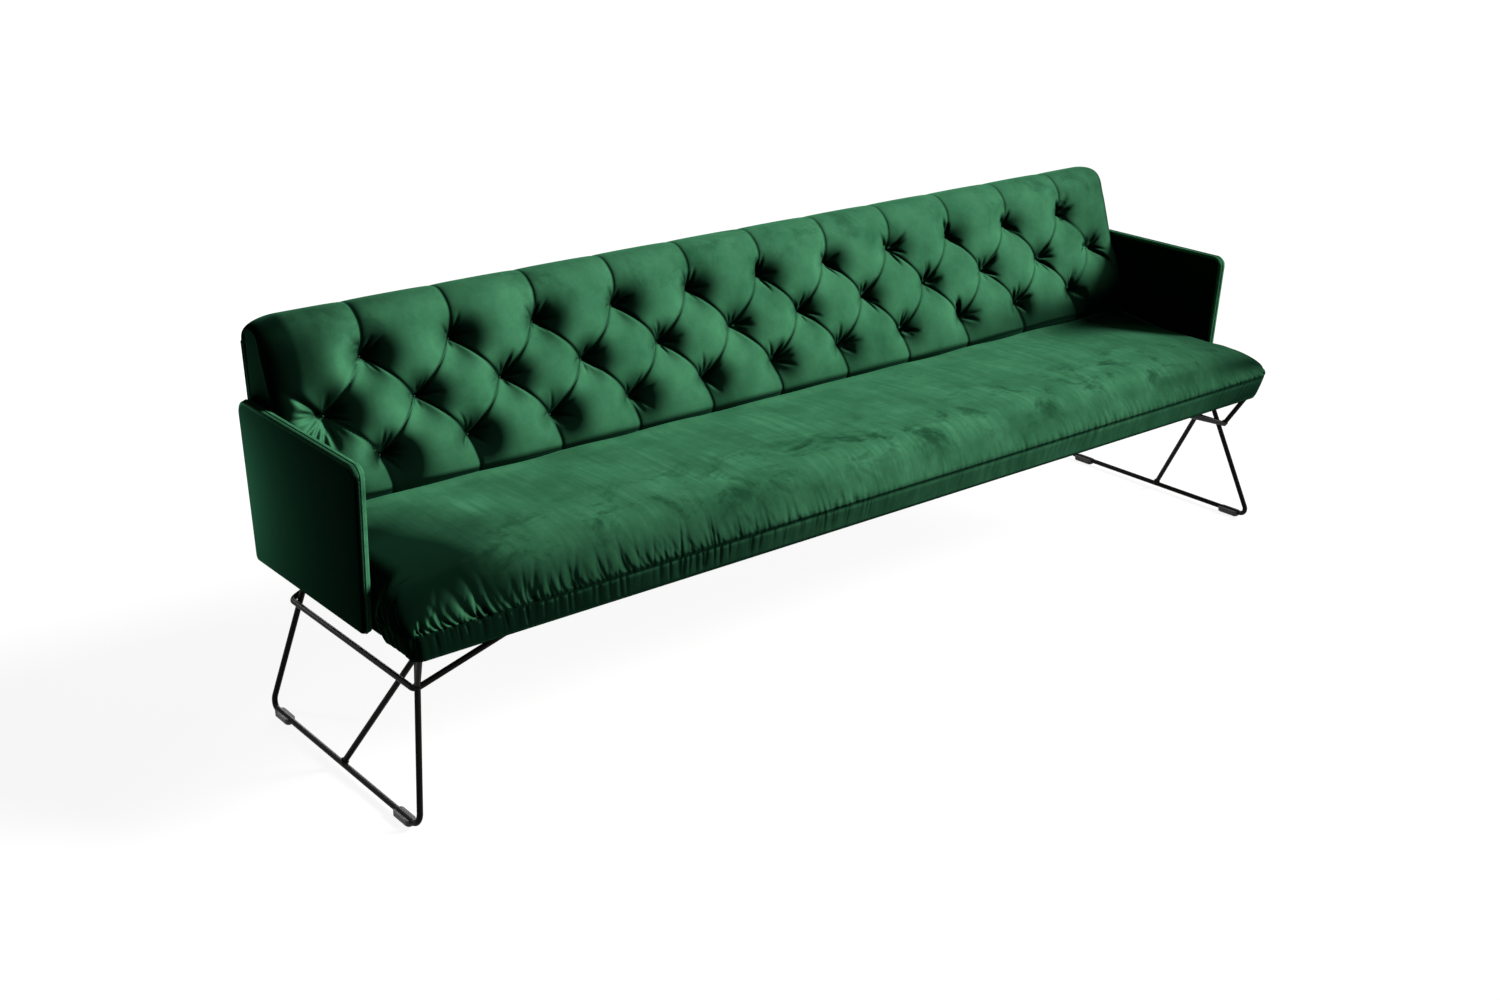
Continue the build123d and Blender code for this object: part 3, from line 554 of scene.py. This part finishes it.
def gathers(along, height, seed, spacing, width, length, slant):
    """Gathers that run up from a seam: grooves, each with its own place, depth, length and slant."""
    rng = Random(seed)
    grooves = np.zeros_like(along)
    place = 0.0
    while place < along.max():
        place += spacing * rng.uniform(0.35, 1.65)
        wide = width * rng.uniform(0.6, 1.6)
        deep = rng.uniform(0.1, 1)
        long = length * rng.uniform(0.4, 1.5)
        lean = slant * rng.uniform(0.3, 1)
        across = np.abs(along - place - lean * height) / (wide * (1 + 0.35 * height / length))
        near = across < 4
        grooves[near] += deep * np.exp(-across[near] ** 1.4) * math.exp(-((height / long) ** 1.5))
    return grooves


def right_end_shade(x):
    """Painted shade that darkens the seat towards its right end."""
    return 0.55 * ease(x, 760, 1160)


outline, normal = seat_ring(seam_corner)
hem, _ = seat_ring(hem_corner)
top_outline, _ = seat_ring(top_corner)
outline_x = outline[:, 0]
along = np.concatenate([[0], np.cumsum(np.linalg.norm(np.diff(outline, axis=0), axis=1))])
free = ease(-outline[:, 1], -arm_edge - 6, -step_y + 10)        # 0 beside the arms, 1 in front of them
free = np.where(outline[:, 1] > seat_rear - 6, 0, free)
facing_front = ease(-normal[:, 1], 0, 1)
front_only = ease(-normal[:, 1], 0.75, 1) * free
roll_r = end_roll + (front_roll - end_roll) * free
inner = top_outline - normal * roll_r[:, None]
inner[:, 1] = np.minimum(inner[:, 1], seat_rear - end_roll)
inner[-front_count:, 0] = np.clip(inner[-front_count:, 0], end_roll - seat_end_arm, seat_end_arm - end_roll)
top_z = seat_top(inner[:, 0], inner[:, 1])
left_reach, right_reach = [
    np.linalg.norm(outline - (sign * seat_end, seat_front), axis=1) for sign in sides.values()
]
at_left = np.exp(-((left_reach / 290) ** 2))
corner_rise = np.exp(-((np.minimum(left_reach, right_reach) / 110) ** 2))
seam = seam_z + 3 * corner_rise * free
bulge_z = seam + 0.06 * (top_z - seam)
held = 0.25 + 0.75 * free
fine = (0.8 + 0.3 * np.sin(along / 170) + 0.2 * np.sin(along / 61)) * held
bold = (at_left + 0.3 * np.exp(-((left_reach / 900) ** 2)) + 0.5 * np.exp(-((right_reach / 170) ** 2))) * held
border_in = (27 - 17 * facing_front) * free + 3
front_only = front_only * (1 - 0.8 * corner_rise)
seam_in = 1.5 * front_only + 1

# Painted shade along the edge at both ends, on the border, on the roll above the seam at the left, and in a
# band along the roll further right; the gathers' grooves are painted darker too.
edge_shade = 0.15 * at_left + 0.2 * ease(outline_x, 980, 1225)
border_shade = edge_shade + 0.42 - 0.36 * ease(outline_x, -900, 400) + 0.5 * right_end_shade(outline_x)
roll_shade = 0.58 * ease(outline_x, -1160, -960) * (1 - 0.82 * ease(outline_x, -620, -60))
band_shade = 0.18 * ease(outline_x, -500, -200)

# The border, from the hem up to the seam.
rows = [np.column_stack([hem - normal * (border_in + 8)[:, None], np.full(len(outline), hem_z)])]
shading_rows = [border_shade]
for step in np.linspace(0, 1, 9)[:-1]:
    z = hem_z + step * (seam - hem_z)
    offset = -border_in + (border_in - seam_in) * step ** (0.55 + 0.4 * front_only)
    grooves = gathers(along, 55 * (1 - step), seed=5, spacing=15, width=3.4, length=60, slant=-0.25)
    depth = (1.8 * fine + 3 * bold) * grooves * min(1, 0.1 + 2.5 * step)
    offset = offset - depth - (0.5 + 1.2 * front_only) * np.exp(-(seam - z) / 3)
    rows.append(np.column_stack([hem + (outline - hem) * step + normal * offset[:, None], z]))
    shading_rows.append(border_shade + 0.08 * depth)

# The roll, from the seam round the bulge to the edge of the top.
low_turn = -60
for degrees in np.concatenate([np.linspace(low_turn, 0, 4, endpoint=False), np.linspace(0, 90, 32)]):
    turn = math.radians(degrees)
    plan, _ = seat_ring(seam_corner + (top_corner - seam_corner) * ease(degrees, 0, 90))
    if degrees < 0:
        z = bulge_z + (bulge_z - seam) * math.sin(turn) / math.sin(math.radians(-low_turn))
        plan = plan - normal * (2 * seam_in * (1 - math.cos(turn)))[:, None]
    else:
        plan = plan - normal * (roll_r * (1 - math.cos(turn)))[:, None]
        done = degrees / 90
        plan[-front_count:] = plan[-front_count:] * (1 - done) + inner[-front_count:] * done
        z = bulge_z + (seat_top(plan[:, 0], plan[:, 1]) - bulge_z) * math.sin(turn)
    height = 6 * min(1, 1 - degrees / low_turn) + math.radians(max(degrees, 0)) * front_roll
    depth = 2.4 * fine * gathers(along, height, seed=11, spacing=10.5, width=3.1, length=30, slant=-0.3)
    depth = depth + 9 * bold * gathers(along, height, seed=12, spacing=12, width=2.4, length=28, slant=-1.0)
    depth = depth * min(1, 0.3 + height / 12)
    pinch = (0.5 + 1.6 * front_only) * math.exp(-height / 3)
    plan = plan - normal * (depth * math.cos(turn) + pinch)[:, None]
    rows.append(np.column_stack([plan, z - depth * math.sin(turn)]))
    shade_here = edge_shade * (1 - 0.6 * ease(degrees, 0, 90)) + roll_shade * (1 - ease(degrees, 20, 100))
    shade_here = shade_here + band_shade * math.exp(-(((degrees - 35) / 20) ** 2))
    shade_here = shade_here + right_end_shade(plan[:, 0]) * (0.4 + 0.6 * ease(degrees, 0, 45))
    shading_rows.append(shade_here + 0.06 * depth)

# The top, from its edge in to the line along its middle.
spine = np.column_stack([np.sign(outline_x) * spine_x, np.full(len(outline), spine_y)])
front_start = end_count + corner_count
shared_xs = np.clip(np.linspace(-1140, 1140, front_count), -spine_x, spine_x)
spine[front_start:front_start + front_count, 0] = shared_xs
spine[-front_count:, 0] = shared_xs[::-1]
for t in np.linspace(0, 1, 20)[1:]:
    flat = inner + (spine - inner) * t
    x, y = flat.T
    rows.append(np.column_stack([flat, seat_top(x, y)]))
    # Painted light at the left end towards the rear, a painted shadow of the right arm at the rear right, and
    # painted shade at the left end in front.
    painted_light_patch = 0.35 * ease(-x, 800, 1000) * ease(y, -190, -20)
    arm_shadow = 0.6 * ease(x, 660, 960) * ease(y, -90, 75)
    beside_arm_shade = 0.6 * ease(-x, 1010, 1150) * (1 - ease(y, -20, 90))
    shading_rows.append(edge_shade * 0.4 * (1 - t) + right_end_shade(x) + arm_shadow + beside_arm_shade - painted_light_patch)
faces = ring_faces(len(rows), len(outline))
upholster("seat_cushion", np.concatenate(rows), faces, velvet, "velvet", 0.8, "seat_cover",
          painted_shading=np.concatenate(shading_rows))

# Tuft ties: waxed twine, sewn through the back's board at each tuft and pulled tight. A nylon washer
# behind the board holds each end.

# Twine: dark green and waxy, and its lay shows as fine bands.
twine, tree, place = new_material("waxed_twine_green")
lay = add(tree, "ShaderNodeTexWave", {"Vector": place, "Scale": per_mm(1.2) / 6, "Distortion": 1.0})
two_tone(tree, lay.outputs["Fac"], "#07190F", "#1B4B31", lay.outputs["Fac"], strength=0.4, depth=0.3,
         surface={"Roughness": 0.7, "IOR": 1.45})
dress(twine, "back_tuft_ties")

# Nylon: moulded, milky white with faint flow marks.
nylon, tree, place = new_material("nylon_natural")
flow = add(tree, "ShaderNodeTexNoise", {"Vector": place, "Scale": per_mm(6), "Detail": 2.0})
two_tone(tree, flow.outputs[0], "#D2CEC0", "#F4F2EA", flow.outputs[0], strength=0.1, depth=0.1,
         surface={"Roughness": 0.42, "IOR": 1.53})
dress(nylon, "back_tie_anchors")

# Back cushion: velvet and wadding drawn down to the board by the ties in three rows of deep tufts.
# Pleats are folded between the tufts, over the top and down to the seat; the cover wraps the ends
# and is sewn there near the rear edge.
recline = math.radians(16.2)
tuft_y = 194.0
tuft_z = 646.5
half_pitch = 100.0         # half the spacing of the tufts along the bench
tuft_row = 99.03           # between the rows, up the slope
outer = 11.0               # last tuft of the long row, in half spacings from the middle
puff = 32.0                # padding in front of the tufts
back_low = 482.0
back_foot = 342.0          # lower edge at the rear
back_end = 1199.2
end_round = 190.0          # length over which the ends fall away, and the last of it turns back
end_turn = 62.0
foot_roll = 30.0
top_roll = 60.0
mesh_steps = 32            # in half a tuft spacing
lip_z = 790.4
panel_in = 8.4
rear_v = 400.0             # from here on, v lies on the rear face, and at under_v on the underside
under_v = 1000.0


def rear_face(z):
    """Rear face of the back at height z."""
    return 329 - (790 - z) * math.tan(math.radians(2.6))


def back_section():
    """Section of the back before tufting: y, z, the outward normal, and v, the way along it."""
    up = np.array([math.sin(recline), math.cos(recline)])
    out = np.array([-math.cos(recline), math.sin(recline)])
    base = np.array([tuft_y, tuft_z]) + out * puff
    step = tuft_row / mesh_steps
    low_v, high_v = -150.0, 154.0
    foot = base + up * low_v - out * foot_roll
    head = base + up * high_v - out * top_roll
    rows = []
    for turn in np.radians(np.linspace(90, 0, 9, endpoint=False)):
        way = out * math.cos(turn) - up * math.sin(turn)
        rows.append((*(foot + way * foot_roll), *way, low_v - foot_roll * turn))
    for v in [low_v, *(np.arange(-48, 50) * step), high_v]:
        rows.append((*(base + up * v), *out, v))
    for turn in np.linspace(0, math.pi / 2 - recline, 20)[1:]:
        way = out * math.cos(turn) + up * math.sin(turn)
        rows.append((*(head + way * top_roll), *way, high_v + top_roll * turn))
    apex_y, apex_z, _, _, apex_v = rows[-1]
    deep, drop = rear_face(apex_z) - apex_y, apex_z - lip_z
    for turn in np.radians(np.linspace(0, 90, 18)[1:]):
        rows.append((apex_y + deep * math.sin(turn), apex_z - drop * (1 - math.cos(turn)), math.sin(turn),
                     math.cos(turn), apex_v + turn * deep))
    for z in np.linspace(lip_z - 4, back_foot, 30):
        rows.append((rear_face(z), z, 1.0, 0.0, rear_v + lip_z - z))
    for y, z in ((rear_face(back_foot) - 30, back_foot - 1), (250, back_foot - 1), (seat_rear, 380),
                 (seat_rear, 440), (seat_rear, back_low)):
        rows.append((y, z, 0.0, -1.0, under_v))
    return np.array(rows)


def pleats(x, v):
    """Height of the velvet over its pleats, full diamonds between folds, and how near a fold is."""
    a = np.abs(x) / half_pitch
    b = np.abs(v) / tuft_row
    rising = np.abs(a + b - 2 * np.round((a + b - 1) / 2) - 1)
    falling = np.abs(a - b - 2 * np.round((a - b - 1) / 2) - 1)
    slant = np.where(a + b > outer, a + b - outer, np.minimum(rising, falling))
    upright = np.where(a > outer - 1, a - outer + 1, np.abs(a - 2 * np.round(a / 2)))
    widen = 0.704 + 0.296 * ease(b, 1, 1.5)
    crease = half_pitch * np.where(b > 1, upright * widen, slant * 0.704)
    over = 1 - 0.5 * ease(b, 1.7, 2.6)
    broad = (2 + 2 * ease(b, 1, 1.6)) * (1 - over * np.exp(-crease / 24))
    sharp = (3 - 1.2 * ease(b, 1, 1.3)) * (1 - over * np.exp(-crease / 2.6))
    return broad + sharp, over * (1 - 0.45 * ease(b, 1, 1.3)) * np.exp(-crease / 1.8)


# Long folds at the two end tufts: the way that each runs, in degrees, and its length.
left_folds = ((150, 95), (163, 70), (176, 100), (191, 75), (204, 105), (228, 85), (247, 110), (262, 70))
right_folds = ((-38, 112), (168, 40), (186, 50))


def tuft_depth(xs, v):
    """Depth that the ties pull the velvet in: a funnel at each tuft, with folds that fan out from it."""
    rng = Random(21)
    depth = np.zeros((len(xs), v.shape[1]))
    for row, count in ((-1, 11), (0, 12), (1, 11)):
        for k in range(count):
            tuft_x = (k - (count - 1) / 2) * 2 * half_pitch
            near = np.abs(xs - tuft_x) < 160
            dx = (xs[near] - tuft_x)[:, None]
            dv = v - row * tuft_row
            reach = np.hypot(dx, dv * np.where(dv > 0, 1.15, 0.92))
            eased = ease(tuft_x, -900, 600)
            depth[near] += (33 - 9 * eased) * np.exp(-((reach / rng.uniform(40, 47)) ** 1.5))
            depth[near] += 8 * np.exp(-((reach / 12) ** 1.3))
            rays = [(rng.uniform(-70, 130), rng.uniform(34, 66), 2.6 + 2.2 * eased) for _ in range(7)]
            rays += [(rng.uniform(130, 290), rng.uniform(22, 38), 2.6) for _ in range(4)]
            if row == 0 and k in (0, count - 1):
                rays += [(turn, 1.2 * length, 8.5) for turn, length in (right_folds if k else left_folds)]
            for degrees, length, deep in rays:
                way = math.radians(degrees + rng.uniform(-4, 4))
                ahead = dx * math.cos(way) + dv * math.sin(way)
                bend = rng.uniform(-0.0012, 0.0012) * ahead**2
                wide = 1.6 + 0.012 * deep * np.abs(ahead)
                aside = np.abs(dv * math.cos(way) - dx * math.sin(way) - bend) / wide
                shown = ease(ahead, 3, 16) * (1 - ease(ahead, 0.4 * length, length))
                depth[near] += deep * np.exp(-(aside**1.5)) * shown
    return depth


section = back_section()
straight = back_end - end_round
middle_xs = np.arange(-400, 401) * half_pitch / mesh_steps
middle_xs = middle_xs[np.abs(middle_xs) <= straight]
turns = np.radians(np.linspace(0, 90, 50)[1:])
end_xs = straight + end_round * np.sin(turns)
columns = np.concatenate([-end_xs[::-1], middle_xs, end_xs])
to_end = back_end - np.abs(columns)[:, None]
falling_away = np.clip(1 - to_end / end_round, 0, 1) ** 1.7
turning_back = 1 - np.sqrt(1 - np.clip(1 - to_end / end_turn, 0, 1) ** 2)
X = columns[:, None]
Y, Z, out_y, out_z, V = [section[:, k][None, :] for k in range(5)]
on_front = V < rear_v
on_rear = (V >= rear_v) & (V < under_v)
tufted = ease(V, -205, -160) * (1 - ease(V, 230, 330))
height, near_fold = pleats(X, V)
fall = (13 * ease(V, 110, 200) - 4 - height + tuft_depth(columns, V) * (V < 250)) * tufted
slack = 15 * ease(V, -60, 20) * (1 - ease(V, 130, 230))
end_in = 24 + 6 * ease(V, 20, 140) - 14 * ease(V, 215, 335)
end_in = np.where(on_front, end_in, np.where(on_rear, 8, 0))
inset = fall * (1 - 0.6 * turning_back) + slack * falling_away + end_in * turning_back
tuck = panel_in * on_rear * (1 - ease(np.abs(X), 1174, 1179))
grid = np.stack(np.broadcast_arrays(X, Y - out_y * (inset + tuck), Z - out_z * inset), axis=-1)
column_count, row_count = grid.shape[:2]

# Between the tufts each quad is split along the fold that crosses it.
faces = []
for i in range(column_count - 1):
    block = math.floor((columns[i] + columns[i + 1]) / 2 / half_pitch)
    for j in range(row_count):
        k = (j + 1) % row_count
        quad = (i * row_count + j, (i + 1) * row_count + j, (i + 1) * row_count + k, i * row_count + k)
        v = (V[0, j] + V[0, k]) / 2
        if k and abs(v) < tuft_row:
            p = 0 if (block % 2 == 1) == (v > 0) else 1
            faces += [quad[p:p + 3], (quad[p + 2], quad[(p + 3) % 4], quad[p])]
        else:
            faces.append(quad)

# The ends close towards a line up their middle, with a puckered seam near the rear edge.
points = grid.reshape(-1, 3)
cap_steps = 34
for end in (0, column_count - 1):
    edge = grid[end]
    goal_z = np.clip(edge[:, 2], 380, 782)
    front_y = tuft_y + (goal_z - tuft_z) * math.tan(recline) - puff + 30
    goal_y = np.where(goal_z < back_low, 278, (front_y + rear_face(goal_z)) / 2)
    last = np.arange(row_count) + end * row_count
    for step in range(1, cap_steps + 1):
        t = 0.96 * step / cap_steps
        new = edge.copy()
        new[:, 1] += (goal_y - edge[:, 1]) * t
        new[:, 2] += (goal_z - edge[:, 2]) * t
        behind = rear_face(new[:, 2]) - 24 - new[:, 1]
        groove = 2.6 * np.exp(-((behind / 2.4) ** 2))
        pucker = 1.1 * np.cos(new[:, 2] / 2.6) * np.exp(-np.abs(behind) / 9)
        new[:, 0] -= np.sign(new[:, 0]) * (groove + pucker + 1) * ease(step, 0, 4)
        start = len(points)
        points = np.concatenate([points, new])
        for j in range(row_count):
            k = (j + 1) % row_count
            faces.append((last[j], last[k], start + k, start + j))
        last = np.arange(row_count) + start

# Painted shade in the folds, at the foot of the back, low at its left end, at its right end and along its
# top, and a painted highlight at the top of the left end.
fold_shade = 0.6 * near_fold * tufted * (V < 250)
foot_shade = (0.25 + 0.6 * ease(X, 500, 850)) * ease(-V, 60, 150)
left_low_shade = 0.25 * ease(-X, 700, 950) * ease(-V, 20, 120)
back_right_shade = (0.2 * ease(X, 900, 1100) + 0.2 * ease(X, 1090, 1190)) * on_front
top_shade = 0.18 * (1 - 0.6 * ease(X, -500, 0)) * ease(V, 150, 230) * on_front
painted_light_patch = 0.16 * ease(-X, 1000, 1120) * ease(V, 120, 240) * on_front
painted_shading = np.zeros(len(points))
painted_shading[:grid[..., 0].size] = (fold_shade + foot_shade + left_low_shade + back_right_shade + top_shade - painted_light_patch).ravel()
upholster("back_tufted_cushion", points, faces, velvet, "velvet", 0.9, "back_cushion", painted_shading=painted_shading)

# Rear panel: a thin board wrapped in the same velvet. It closes the back of the frame, and is tacked into
# the recess that the back cushion's cover leaves there.


def panel_rings(points, normals, half, edge_r, crown):
    """Rings of a thin padded panel, from one face round its edge to the other: place, height."""
    centre = (points.min(0) + points.max(0)) / 2
    face = points - normals * edge_r * 1.8
    shrink = (0.03, 0.15, 0.3, 0.45, 0.6, 0.72, 0.82, 0.9, 0.95, 0.98)
    rings = [(centre + (face - centre) * s, half + crown * (1 - s**8)) for s in shrink]
    rings.append((face, half))
    for turn in np.radians((78, 64, 50, 36, 22, 10)):
        rings.append((points - normals * edge_r * (1 - math.cos(turn) ** 0.75), half * math.sin(turn) ** 0.7))
    rings.append((points, 0.0))
    return rings + [(place, -height) for place, height in reversed(rings[:-1])]


panel_low, panel_high, panel_end = 341.0, 789.8, 1177.0
panel_half = 4.0           # half its thickness
corners = [(-panel_end, panel_low), (panel_end, panel_low), (panel_end, panel_high), (-panel_end, panel_high)]
edge, edge_normal = rounded(corners, [6] * 4, 7)
rows = []
for at, height in panel_rings(edge, edge_normal, panel_half, 3.0, 0.5):
    x, z = at.T
    rows.append(np.column_stack([x, rear_face(z) - panel_half + height, z]))
faces = ring_faces(len(rows), len(edge))
upholster("back_rear_cover", np.concatenate(rows), faces, velvet, "velvet", 1.0, "back_rear_panel")

# Arms: a plywood core wrapped in thin foam and velvet, joined by a welt round the edge, and bolted
# through to the seat's end rail and the end post of the back.
arm_low, arm_high, arm_middle = 337.0, 676.0, 1210.0
arm_half = 10.0            # half the thickness of the arm
edge_highlight = -0.8            # painted highlight round the edge and on the welt
corners = [(-151, arm_low), (rear_face(arm_low) - 1, arm_low), (rear_face(arm_high) - 1, arm_high + 1),
           (arm_edge, arm_high - 4)]
edge, edge_normal = rounded(corners, (16, 12, 32, 24), 3.6)
for side, sign in sides.items():
    rows, shading_rows = [], []
    for at, height in panel_rings(edge, edge_normal, arm_half, 5.5, 0.9):
        inner_half = np.where(sign * height < 4, 1, np.clip(edge_normal[:, 1], 0, 1))
        shading_rows.append(edge_highlight * (abs(height) < arm_half - 0.1) * inner_half)
        corner_reach = np.hypot(at[:, 0] - edge[:, 0].min(), at[:, 1] - arm_high)
        fan = np.sin(np.arctan2(at[:, 1] - arm_high + 60, at[:, 0] + 230) * 46)
        pucker = 1.1 * fan * np.exp(-((corner_reach / 34) ** 2))
        rows.append(np.column_stack([sign * arm_middle + height + pucker * np.sign(height), at]))
    faces = ring_faces(len(rows), len(edge))
    upholster(f"{side}_arm_cover", np.concatenate(rows), faces, velvet, "velvet", 0.9,
              f"{side}_arm_inner_pad", f"{side}_arm_outer_pad", painted_shading=np.concatenate(shading_rows))
    path = np.column_stack([np.full(len(edge), sign * arm_middle), edge - edge_normal * 0.9])
    welt = lay_bead(f"{side}_arm_cord", [path], closed=True, radius=2.3, edge_count=8, unevenness=0.5,
                    grain=9, finish=velvet)
    # The welt carries the same painted highlight.
    attribute = welt.data.attributes.new("painted_shading", "FLOAT", "POINT")
    attribute.data.foreach_set("value", np.full(len(welt.data.vertices), edge_highlight, np.float32))
    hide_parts(f"{side}_arm_welt")

# Studio: a pale floor that keeps the bench's shadow, a white surround, a soft key from the right with a
# lamp in front to help it, a weak rim light at the left end, and a lamp behind.


def seen_directly(tree):
    """1 for rays that see the floor or the surround: from the camera, off gloss or through glass."""
    rays = add(tree, "ShaderNodeLightPath").outputs
    seen = add(tree, "ShaderNodeMath", {
        0: rays["Is Camera Ray"], 1: rays["Is Glossy Ray"],
    }, operation="MAXIMUM")
    seen = add(tree, "ShaderNodeMath", {
        0: seen.outputs[0], 1: rays["Is Transmission Ray"],
    }, operation="MAXIMUM")
    return seen.outputs[0]


floor_mesh = bpy.data.meshes.new("floor")
floor_mesh.from_pydata([(-60, -60, 0), (60, -60, 0), (60, 60, 0), (-60, 60, 0)], [], [(0, 1, 2, 3)])
floor = in_scene("floor", floor_mesh)
floor_paint, tree, _ = new_material("floor_pale")
glow = add(tree, "ShaderNodeMath", {0: seen_directly(tree), 1: 0.9}, operation="MULTIPLY")
glowing = add(tree, "ShaderNodeEmission", {"Color": (1, 1, 1, 1), "Strength": glow.outputs[0]})
matt = add(tree, "ShaderNodeBsdfDiffuse", {"Color": linear("#6A6A69")})
both = add(tree, "ShaderNodeAddShader", {0: glowing.outputs[0], 1: matt.outputs[0]})
add(tree, "ShaderNodeOutputMaterial", {"Surface": both.outputs[0]})
floor_mesh.materials.append(floor_paint)

world = bpy.data.worlds.new("studio")
bpy.context.scene.world = world
world.use_nodes = True
tree = world.node_tree
tree.nodes.clear()
fill = 0.015               # weak light from all round, behind the white that the camera sees
level = add(tree, "ShaderNodeMath", {0: seen_directly(tree), 1: 1 - fill, 2: fill}, operation="MULTIPLY_ADD")
sky = add(tree, "ShaderNodeBackground", {"Color": (1, 1, 1, 1), "Strength": level.outputs[0]})
add(tree, "ShaderNodeOutputWorld", {"Surface": sky.outputs[0]})


def hang(name, kind, place, target, **settings):
    """A lamp at a place, facing a target."""
    lamp = bpy.data.lights.new(name, kind)
    for key, value in settings.items():
        setattr(lamp, key, value)
    light = in_scene(name, lamp)
    light.location = place
    x, y, z = np.array(target) - np.array(place)
    light.rotation_euler = (math.atan2(math.hypot(x, y), -z), 0, math.atan2(y, x) - math.pi / 2)


hang("key", "SUN", (3.8, -2.3, 2.55), (0, 0, 0), energy=6.0, angle=math.radians(20))
hang("front", "AREA", (2.1, -2.3, 1.9), (1.0, 0.1, 0.6), energy=7, size=1.2)
hang("rim", "AREA", (-1.275, 0.405, 0.48), (-1.22, 0.29, 0.48), energy=1.0,
     shape="RECTANGLE", size=0.05, size_y=0.3)
hang("rear", "AREA", (0.8, 2.8, 1.0), (0, 0.33, 0.6), energy=70, size=1.6)
for name in ("rim", "rear"):
    bpy.data.objects[name].visible_camera = False

# Camera: at the photograph's viewing angle. Its place, tilt and focal length were solved from the
# bench's straight edges and the even spacing of its tufts.
lens = bpy.data.cameras.new("camera")
lens.sensor_width = 36
lens.lens = 43.88
camera = in_scene("camera", lens)
camera.location = (-2.5628, -2.9497, 1.7973)
camera.rotation_euler = (math.radians(90 - 21.50), 0, math.radians(-38.79))
bpy.context.scene.camera = camera
bpy.context.scene.view_settings.view_transform = "Standard"
